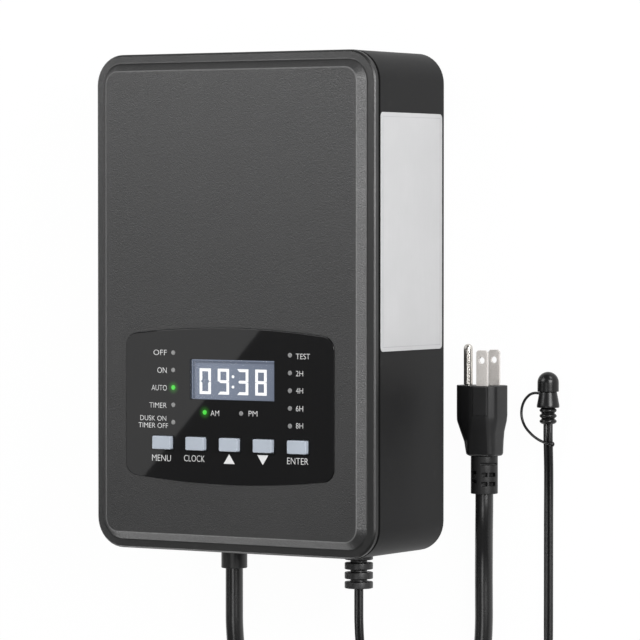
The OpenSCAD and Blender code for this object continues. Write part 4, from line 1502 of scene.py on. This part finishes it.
    def stroke_shapes(self) -> list[list[Flat]]:
        """Draws a figure's seven strokes.

        Returns:
            The outlines of the top, middle and bottom one, then of the upper and lower left and the
            upper and lower right one.
        """
        wide, high, thick, gap = self.digit_size[0] / 2, self.digit_size[1] / 2, self.stroke, self.mitre
        in_wide, in_high = wide - thick, high - thick
        top = [(-wide + gap, high), (wide - gap, high), (in_wide - gap, in_high), (-in_wide + gap, in_high)]
        middle = [(-wide + thick / 2 + gap, 0), (-in_wide + gap, thick / 2), (in_wide - gap, thick / 2)]
        middle += [(-x, -y) for x, y in middle]
        left = [(-wide, high - gap), (-in_wide, in_high - gap), (-in_wide, thick / 2 + gap)]
        left += [(-wide + thick / 2, gap), (-wide, gap)]
        lower = [(x, -y) for x, y in left]
        rows = [top, middle, [(x, -y) for x, y in top]]
        return [*rows, left, lower, [(-x, y) for x, y in left], [(-x, y) for x, y in lower]]

    def build_digits(self) -> None:
        """Makes the lit strokes of the figures, mitred where they meet, and the colon's dots."""
        x, y = self.display[0] + self.digits_shift[0], self.display[1] + self.digits_shift[1]
        pieces = []
        for place, figure in zip(self.digit_places, self.figures):
            for on, shape in zip(figure, self.stroke_shapes()):
                if on == "1":
                    corners = [self.spot(x + place + a, y + b, self.face) for a, b in shape]
                    pieces.append(Piece.outline("stroke", corners).raised(self.stroke_height))
        for side in (-1, 1):
            foot = self.spot(x, y + side * self.digit_size[1] / 5, self.face)
            pieces.append(Piece.rod("dot", self.stroke / 2, foot, foot + mm(0, 0, self.stroke_height), 24))
        strokes = Piece.merged("lit_strokes", pieces)
        strokes.finish(Glowing("lit_stroke", (1, 1, 1)), "digits", replaces=("display_digits",))

    def build_display(self) -> None:
        """Dresses the display's ground, its lit strokes and the pane over them."""
        half = mm(self.display_size[0] / 2, self.display_size[1] / 2, 0) / MM
        middle = self.spot(*self.display, 0) / MM
        ground = Backlit("display_ground", tuple((middle - half).xy), tuple((middle + half).xy))
        dress("display_module", ground, "display", 0.05)
        dress("display_window", Pane("display_pane"), "window", 0.12)
        self.build_digits()

    def build_keys(self) -> None:
        """Rounds each key cap: upright corners first, then the upper edge."""
        plastic = Moulded("key_plastic", (0.35, 0.387, 0.44), 0.38, 0.45, grain=0.25, depth=0.006, patch=0.04)
        foot = self.top - 2.3
        for name, body in KEYS.items():
            node = f"key_{name}"
            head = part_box(node)[1][2] / MM
            piece = Piece.copy_of(node, f"cap_{name}")
            piece.soften(0.7, lambda middle: 1.0 if foot < middle.z / MM < head - 0.3 else 0.0, 60)
            piece.soften(0.45, lambda middle: 1.0 if middle.z / MM > head - 0.1 else 0.0)
            piece.smooth().finish(plastic, "key", body, (node,))

    def build_lights(self) -> None:
        """Caps the lights with round lenses."""
        low, high = (self.top + reach for reach in self.light_reach)
        for node, slot, places, lens in (
            ("indicator_lights_off", "light_off", self.unlit, Lens("unlit_lens", (0.2, 0.2, 0.2))),
            ("indicator_lights_on", "light_on", self.lit, Lens("lit_lens", (0.01, 0.1, 0.01), (0.035, 0.62, 0.02))),
        ):
            ends = [(self.spot(*place, low), self.spot(*place, high)) for place in places]
            piece = Piece.copy_of(node)
            piece.join([Piece.rod("cap", self.light_radius, *two, 32) for two in ends])
            piece.soften(0.25, lambda middle: 1.0 if middle.z / MM > self.top + 0.2 else 0.0, segments=4)
            piece.smooth().finish(lens, slot, replaces=(node,))

    def build(self) -> None:
        """Builds everything on the front."""
        self.build_fascia()
        self.build_print()
        self.build_display()
        self.build_keys()
        self.build_lights()


@dataclass
class TimerBoard:
    """The board under the cover: each node with its finish, its material slot and its rounding."""

    parts: tuple[tuple[str, Finish, str, float], ...] = (
        ("timer_board", Masked("board_mask"), "board", 0.1),
        ("board_screws", Metal("board_screw_steel", (0.64, 0.64, 0.66), 0.3), "steel", 0.12),
        ("tact_switches", Moulded("switch_housing", (0.05, 0.052, 0.055), 0.4), "switch", 0.12),
        ("power_relay", Moulded("relay_case", (0.018, 0.075, 0.3), 0.3, grain=0.3, depth=0.01), "relay", 0.5),
        ("capacitors", Moulded("capacitor_sleeve", (0.03, 0.04, 0.13), 0.3, depth=0.01), "capacitor", 0.6),
        ("microcontroller", Moulded("chip_package", (0.02, 0.02, 0.021), 0.5, 0.4, 0.2, 0.015), "chip", 0.15),
    )

    def build(self) -> None:
        """Dresses the board, what stands on it, and the plungers that move with the keys."""
        for node, finish, slot, width in self.parts:
            dress(node, finish, slot, width)
        for name, body in KEYS.items():
            dress(f"plunger_{name}", Moulded("plunger_plastic", (0.7, 0.68, 0.62), 0.4), "plunger", 0.1, body)


@dataclass
class Toroid:
    """The wound toroid and what clamps it to the back plate."""

    middle: Point = (0, 58.0, 27.0)
    bore: float = 20
    rim: float = 58
    height: float = 44
    corner: float = 9
    wire: float = 0.72
    wraps: int = 176

    def section(self) -> list[Vector]:
        """Draws the varnished body's section, one wire's thickness inside the winding's.

        Returns:
            Its points at Y 0, from the toroid's middle.
        """
        wide, high = (self.rim - self.bore) / 2 - self.wire, self.height / 2 - self.wire
        outline = rounded_outline(wide, high, self.corner - self.wire, 4)
        return [mm((self.rim + self.bore) / 2 + u, 0, v) for u, v in outline]

    def build_winding(self) -> None:
        """Makes the varnished body and lays wire round it, one wrap copied all the way round."""
        body = Piece.outline("winding", self.section())
        with body.edit(Edit.FACES):
            bpy.ops.mesh.select_all(action="SELECT")
            bpy.ops.mesh.spin(steps=96, angle=math.tau, center=(0, 0, 0), axis=(0, 0, 1))
            bpy.ops.mesh.select_all(action="SELECT")
            bpy.ops.mesh.remove_doubles(threshold=0.01 * MM)
            body.face_out()
        line = [Vector((p.x, p.z, 0)) / MM for p in self.section()]
        wrap = sweep("wrap", [*line, line[0], line[1]], round_section(2 * self.wire, 5))
        wrap.thing.data.transform(Matrix.Rotation(math.pi / 2, 4, "X"))
        turns = [Matrix.Rotation(math.tau * i / self.wraps, 4, "Z") for i in range(1, self.wraps)]
        body.join([wrap, *(wrap.copy("wrap", turn) for turn in turns)])
        body.thing.data.transform(Matrix.Translation(mm(*self.middle)))
        body.smooth(50).finish(Enamel("magnet_wire"), "copper", replaces=("toroid_winding",))

    def build(self) -> None:
        """Builds the transformer."""
        self.build_winding()
        dress("toroid_core", Metal("core_steel", (0.42, 0.43, 0.45), 0.4, grain=(1, 1, 0.05)), "core", 0.3)
        rubber = Moulded("pad_rubber", (0.018, 0.018, 0.018), 0.65)
        dress_all(rubber, "seal", {"toroid_pad_lower": 0.3, "toroid_pad_upper": 0.3})
        zinc = Metal("zinc_plate", (0.6, 0.6, 0.56), 0.32, grain=(1, 1, 1), size=2.2)
        dress_all(zinc, "steel", {"toroid_clamp_plate": 0.4, "toroid_bolt": 0.35, "toroid_nut": 0.35})


# Bottom end


@dataclass
class BottomEnd:
    """What stands in the bottom end: both cord entries, the reset button and the output terminals."""

    nylon: Finish = Moulded("gland_nylon", (0.01, 0.01, 0.0103), 0.42)
    clip: Finish = Metal("clip_steel", (0.6, 0.6, 0.62), 0.3)
    phenolic: Finish = Moulded("phenolic", (0.018, 0.017, 0.017), 0.4)
    button: Finish = Moulded("button_plastic", (0.68, 0.67, 0.64), 0.35, grain=0.3, depth=0.01)
    plated: Finish = Metal("terminal_plating", (0.66, 0.66, 0.64), 0.25, grain=(1, 1, 0.06))

    def build(self) -> None:
        """Dresses the bottom end's pieces."""
        dress_all(self.nylon, "gland", {"mains_gland": 0.7, "mains_gland_nut": 0.3, "sensor_strain_relief": 0.45})
        dress("sensor_relief_clip", self.clip, "steel", 0.2)
        dress_all(self.phenolic, "chip", {"breaker_body": 0.3, "output_terminal_block": 0.35})
        dress("breaker_button", self.button, "button", 0.5, Body.RESET)
        dress_all(self.plated, "steel", {"terminal_plates": 0.15, "terminal_screws": 0.2})


# Plug


@dataclass(frozen=True)
class Station:
    """A section of the plug behind its face: its left and right reach, its flat's two sides and its thickness."""

    back: float
    left: float
    right: float
    crest: float
    brow: float
    thick: float


@dataclass
class Plug:
    """The mains plug: a lofted body with a raised middle panel and a sloping grip, its relief and its prongs.

    A slot of the relief is given by its distance behind the body, its turn in degrees, its width and
    its height. The panel has its corners from the plug's middle, and how far its two faces stand off it.
    """

    middle: Point = (116.1, -42.2, 10.5)
    stations: tuple[Station, ...] = (
        Station(0.0, -15.2, 10.5, -3.0, 7.0, 19.8),
        Station(15.4, -15.2, 10.5, -3.0, 7.0, 19.8),
        Station(18.4, -15.2, 10.3, -3.4, 7.2, 18.6),
        Station(24.0, -13.2, 8.9, -4.6, 7.1, 17.0),
        Station(29.2, -11.2, 8.6, -5.6, 7.1, 15.6),
        Station(36.4, -10.0, 8.5, -6.4, 7.1, 14.4),
    )
    nose: float = 3.2
    shares: Flat = (0.31, 0.14)
    panel: tuple[Flat, ...] = ((-1.2, 0.3), (-1.2, 15.4), (7.2, 15.4), (7.2, 0.3))
    panel_reach: Flat = (9.0, 10.5)
    relief_length: float = 19.5
    relief_radius: float = 7.0
    slot_depth: float = 2.8
    slots: tuple[tuple[float, float, float, float], ...] = (
        (4.0, 54, 9.0, 1.1),
        (9.5, 68, 3.8, 2.1),
        (9.5, 30, 2.9, 2.1),
        (14.3, 68, 3.8, 2.1),
        (14.3, 30, 2.9, 2.1),
        (8.4, -26, 4.6, 1.7),
        (13.0, -26, 4.6, 1.7),
    )

    def ring(self, station: Station) -> list[Vector]:
        """Draws the section at one station.

        Args:
            station: the station.

        Returns:
            The section's points.
        """
        x, y, z = self.middle
        half, high, low = (share * station.thick for share in (0.5, *self.shares))
        upper = [(station.right, high), (station.brow, half), (station.crest, half)]
        upper += [(station.left + self.nose, high), (station.left, low)]
        lower = [(u, -v) for u, v in reversed(upper)]
        return [mm(x + u, y - station.back, z + v) for u, v in upper + lower]

    def pick_back(self, piece: Piece) -> None:
        """Selects the edges round the back end of the body as it stands."""
        back = min(vertex.co.y for vertex in piece.thing.data.vertices) + 1e-6
        piece.pick_edges(lambda a, b: a.y < back and b.y < back)

    def build_body(self, rubber: Finish) -> bpy.types.Object:
        """Lofts the body by extruding its section from station to station.

        Args:
            rubber: the plug's rubber.

        Returns:
            The body.
        """
        rings = [self.ring(station) for station in self.stations]
        piece = Piece.outline("plug_shell", rings[0])
        for before, after in zip(rings, rings[1:]):
            with piece.edit(Edit.EDGES):
                self.pick_back(piece)
                bpy.ops.mesh.extrude_edges_move(TRANSFORM_OT_translate={"value": (0, -MM, 0)})
            for vertex in sorted(piece.thing.data.vertices, key=lambda v: v.co.y)[: len(after)]:
                spots = [(place - vertex.co).xz.length for place in before]
                vertex.co = after[spots.index(min(spots))]
        with piece.edit(Edit.EDGES):
            self.pick_back(piece)
            bpy.ops.mesh.edge_face_add()
            piece.face_out()
        piece.soften(1.5, lambda middle: 0.35 if middle.y / MM > self.middle[1] - 0.1 else 1.0, 14, 4)
        return piece.smooth(40).finish(rubber, "plug", replaces=("plug_body",))

    def build_panels(self, rubber: Finish) -> list[bpy.types.Object]:
        """Adds the raised panel behind the face, on both sides.

        Args:
            rubber: the plug's rubber.

        Returns:
            The two panels.
        """
        things = []
        x, y, z = self.middle
        for side, name in ((1, "front"), (-1, "back")):
            low, high = sorted(side * reach for reach in self.panel_reach)
            corners = [mm(x + u, y - v, z + low) for u, v in self.panel]
            plate = Piece.outline(f"plug_panel_{name}", corners).raised(high - low)
            things.append(plate.soften(0.5).smooth().finish(rubber, "plug"))
        return things

    def build_relief(self, rubber: Finish) -> bpy.types.Object:
        """Turns the strain relief and cuts its slots, the same on both sides.

        Args:
            rubber: the plug's rubber.

        Returns:
            The relief.
        """
        x, y, z = self.middle
        head = mm(x, y - self.stations[-1].back, z)
        piece = Piece.rod("plug_relief", self.relief_radius, head, head - mm(0, self.relief_length, 0))
        floor, over = self.relief_radius - self.slot_depth, self.relief_radius + 2
        tools = []
        for back, turn, width, height in self.slots:
            low, high = mm(-width / 2, -back - height / 2, floor), mm(width / 2, -back + height / 2, over)
            block = Piece.block("slot", low, high)
            for side in (0, 180):
                place = Matrix.Translation(head) @ Matrix.Rotation(math.radians(turn + side), 4, "Y")
                tools.append(block.copy("slot_tool", place))
            bpy.data.objects.remove(block.thing)
        piece.cut(tools[0].join(tools[1:])).soften(0.3, segments=2)
        return piece.smooth().finish(rubber, "plug", replaces=("plug_strain_relief",))

    def build(self) -> list[bpy.types.Object]:
        """Builds the plug.

        Returns:
            All its pieces.
        """
        rubber = Moulded("plug_rubber", (0.008, 0.008, 0.0083), 0.44, 0.28, grain=0.35, patch_size=14)
        worn = {"depth": 0.02, "dull": 0.12, "pitted": 0.4, "metallic": 0.35}
        nickel = Metal("blade_nickel", (0.66, 0.63, 0.6), 0.4, grain=(1, 0.5, 1), **worn)
        polished = Metal("pin_nickel", (0.72, 0.69, 0.65), 0.16, grain=(1, 0.03, 1), depth=0.006, dull=0.05)
        return [
            self.build_body(rubber),
            *self.build_panels(rubber),
            self.build_relief(rubber),
            dress("plug_blades", nickel, "blade", 0.22),
            dress("plug_ground_pin", polished, "blade", 0.12),
        ]


# Photocell


@dataclass
class Photocell:
    """The photocell on the thin cord: dome, collar, cell and its holding strap."""

    strap: tuple[Point, ...] = (
        (146.3, -45.8, 6), (143.1, -45.7, 6), (140.1, -46.8, 6), (137.3, -49.7, 6), (135.7, -53.7, 6),
        (135.7, -58.2, 6.1), (137.7, -62.8, 6.4), (141.5, -66.6, 6.9), (146.1, -69.4, 7.5), (150.6, -71, 7.8),
        (154.1, -71.6, 7.6),
    )
    strap_width: float = 1.4
    bead: float = 3.0

    def build_strap(self, shell: Finish) -> bpy.types.Object:
        """Sweeps the strap and sets its bead on the end.

        Args:
            shell: the dome's plastic.

        Returns:
            The strap.
        """
        piece = sweep("strap", eased_route(self.strap, 6), round_section(self.strap_width, 12))
        ball = {"segments": 20, "ring_count": 12, "radius": self.bead / 2 * MM, "location": mm(*self.strap[-1])}
        bead = Piece.added("bead", bpy.ops.mesh.primitive_uv_sphere_add, **ball).settle()
        bead.thing.data.uv_layers[0].name = "sweep"
        return piece.join([bead]).smooth(60).finish(shell, "dome", replaces=("sensor_strap",))

    def build(self) -> list[bpy.types.Object]:
        """Builds the photocell.

        Returns:
            Its pieces.
        """
        shell = Moulded("dome_plastic", (0.005, 0.005, 0.0052), 0.3, 0.3, depth=0.003, patch_size=12)
        housing = dress_all(shell, "dome", {"sensor_dome": 0.3, "sensor_collar": 0.35})
        cell = dress("sensor_photocell", Lens("cell_resin", (0.4, 0.09, 0.05)), "cell", 0.2)
        return [*housing, cell, self.build_strap(shell)]


# The routes, in millimetres, are those of the cords' solids.
MAINS = Cord(
    name="mains_cord",
    lead=(
        (-23.5, -141.3, 33), (-23.5, -151, 33), (-23.5, -161, 33), (-23.5, -172, 32.8), (-23.4, -186, 31),
        (-23.2, -200, 26.8), (-23.1, -214, 21.3), (-23, -227, 17.2), (-23, -238, 15.85), (-23, -247.7, 15.85),
    ),
    coil=Coil(
        middle=(37, -257), radius=60, pitch=10, turns=3.5, start=180, hand=1, high=15.85, low=5.95, straight=9.3
    ),
    tail=(
        (97, -247.7, 5.95), (97, -238, 5.95), (98, -226, 5.6), (101, -214, 5), (105, -202, 4.8), (109.2, -190, 4.8),
        (111.9, -178, 4.8), (112.7, -166, 4.8), (112.7, -153, 4.8), (112.7, -141, 4.9), (113.2, -130, 5.7),
        (114.3, -121, 7.6), (115.5, -113, 9.6), (116.1, -105.5, 10.5), (116.1, -98.1, 10.5),
    ),
    diameter=9.3,
    section=tuple(round_section(9.3)),
    nodes=("mains_cord_lead", "mains_cord_coil", "mains_cord_tail"),
    slot="cord",
    far_end="plug",
)

TWIN = Cord(
    name="photocell_cord",
    lead=(
        (53.9, -148.35, 33), (53.9, -157, 33), (53.9, -166, 32.9), (53.9, -176, 32), (54, -186, 30),
        (55.8, -194, 27.6), (60.5, -201.5, 24.8), (67.5, -207.2, 21.8), (74.5, -210.1, 19.2), (83, -211, 16.8),
        (92, -211, 15), (101, -211, 14), (111, -211, 13.5), (121, -211, 12.6), (131, -211, 11.3),
        (142, -211, 10.2), (153, -211, 9.7), (164, -211, 9.7), (174.8, -211, 9.7),
    ),
    coil=Coil(
        middle=(180, -242), radius=31, pitch=3.3, turns=3.75, start=90, hand=-1, high=9.7, low=3.9, straight=5.2
    ),
    tail=(
        (149, -236.8, 3.9), (149, -226, 3.9), (149, -215, 3.4), (149, -204, 2.7), (149, -193, 2), (149, -182, 1.6),
        (149, -170, 1.5), (149, -158, 1.5), (149, -146, 1.5), (149, -134, 1.5), (149, -122, 1.5), (149, -110, 1.5),
        (149.2, -98, 1.8), (149.9, -86, 3.1), (150.7, -76, 4.9), (151.1, -68.5, 6), (151.1, -61.4, 6),
    ),
    diameter=5.2,
    section=tuple(twin_section(5.2)),
    nodes=("sensor_cord_lead", "sensor_cord_coil", "sensor_cord_tail"),
    slot="twin",
    far_end="fitting",
    flat=True,
)


# Studio


@dataclass(frozen=True)
class Lamp:
    """A soft lamp: its place, what it looks at, its size in metres and its power in watts."""

    name: str
    place: Point
    aim: Point
    width: float
    height: float
    power: float
    turn: float = 0.0

    def build(self) -> bpy.types.Object:
        """Makes the lamp.

        Returns:
            The lamp.
        """
        data = bpy.data.lights.new(self.name, "AREA")
        data.shape, data.size, data.size_y, data.energy = "RECTANGLE", self.width, self.height, self.power
        lamp = bpy.data.objects.new(self.name, data)
        bpy.context.scene.collection.objects.link(lamp)
        aimed = (Vector(self.aim) - Vector(self.place)).to_track_quat("-Z", "Y").to_matrix().to_4x4()
        turned = Matrix.Rotation(math.radians(self.turn), 4, "Z")
        lamp.matrix_world = Matrix.Translation(self.place) @ aimed @ turned
        return lamp


@dataclass
class Studio:
    """The pale floor, the white surround and the soft lamps. The card makes the fascia's sharp reflection."""

    ambient: float = 0.17
    floor_size: float = 8
    floor_colour: Colour = (0.85, 0.85, 0.85)
    floor_white: float = 0.975
    lamps: tuple[Lamp, ...] = (
        Lamp("card", (-1.1577, -0.0235, 1.6), (-1.1577, -0.0235, 0), 0.34, 0.5, 1.7, 137.0),
        Lamp("key", (-0.37, 0.42, 0.82), (0, 0.05, 0.07), 0.45, 0.35, 4.6),
        Lamp("right", (1.31, 0.33, 0.8), (0.08, 0.1, 0.07), 0.7, 0.7, 25.0),
        Lamp("left", (-1.5, 0.3, 0.5), (-0.08, 0, 0.07), 0.8, 1.6, 6.0),
        Lamp("front", (0.45, -0.45, 1.9), (0, -0.1, 0.03), 0.6, 0.6, 5.0),
        Lamp("rim", (0.85, 0.95, 0.2), (0.08, 0.12, 0.05), 0.4, 0.3, 5.0),
        Lamp("low", (-0.9, -1.4, 0.3), (0, -0.1, 0.05), 0.8, 0.3, 10.0),
    )

    def build_floor(self) -> None:
        """Makes the floor, which the camera and mirroring pieces see nearly white but for the object's shadow."""
        floor = Piece.added("floor", bpy.ops.mesh.primitive_plane_add, size=self.floor_size).thing
        material = bpy.data.materials.new("pale_floor")
        material.use_nodes = True
        graph = Graph(material.node_tree)
        graph.tree.nodes.clear()
        plain = graph.value("ShaderNodeBsdfDiffuse", {}, {"Color": (*self.floor_colour, 1)})
        white = graph.value("ShaderNodeEmission")
        rays = ("Is Camera Ray", "Is Glossy Ray", "Is Transmission Ray")
        graph.split(rays, plain, white, self.floor_white, "ShaderNodeOutputMaterial")
        floor.data.materials.append(material)

    def build_world(self) -> None:
        """Makes the surround: white for the camera, a soft grey light for everything else."""
        world = bpy.data.worlds.new("surround")
        bpy.context.scene.world = world
        world.use_nodes = True
        graph = Graph(world.node_tree)
        graph.tree.nodes.clear()
        soft, white = (
            graph.value("ShaderNodeBackground", {}, {"Color": (1, 1, 1, 1), "Strength": strength})
            for strength in (self.ambient, 1.0)
        )
        graph.split(("Is Camera Ray", "Is Transmission Ray"), soft, white, 1.0, "ShaderNodeOutputWorld")

    def build(self) -> None:
        """Builds the studio."""
        self.build_floor()
        self.build_world()
        for lamp in self.lamps:
            lamp.build()


def main() -> None:
    """Builds the scene: the camera and the cords' pieces first, then the box from outside in."""
    logging.basicConfig(level=logging.INFO, format="%(message)s")
    bpy.context.scene.view_settings.view_transform = "Standard"
    Shot().build()
    fine = {"grain": 0.5, "depth": 0.001, "patch": 0.05, "marks": 0.01, "speckle": 0.03}
    jacket = Moulded("cord_jacket", (0.006, 0.006, 0.0062), 0.27, 0.52, along=True, **fine)
    MAINS.build(jacket, Plug().build())
    TWIN.build(jacket, Photocell().build())
    band = Moulded("tie_band", (0.012, 0.012, 0.012), 0.6, 0.4, grain=0.8, depth=0.15)
    dress_all(band, "tie", {"mains_coil_tie": 0.3, "sensor_coil_tie": 0.3})
    for assembly in (Cabinet(), Controls(), TimerBoard(), Toroid(), BottomEnd(), Studio()):
        assembly.build()


if __name__ == "__main__":
    main()
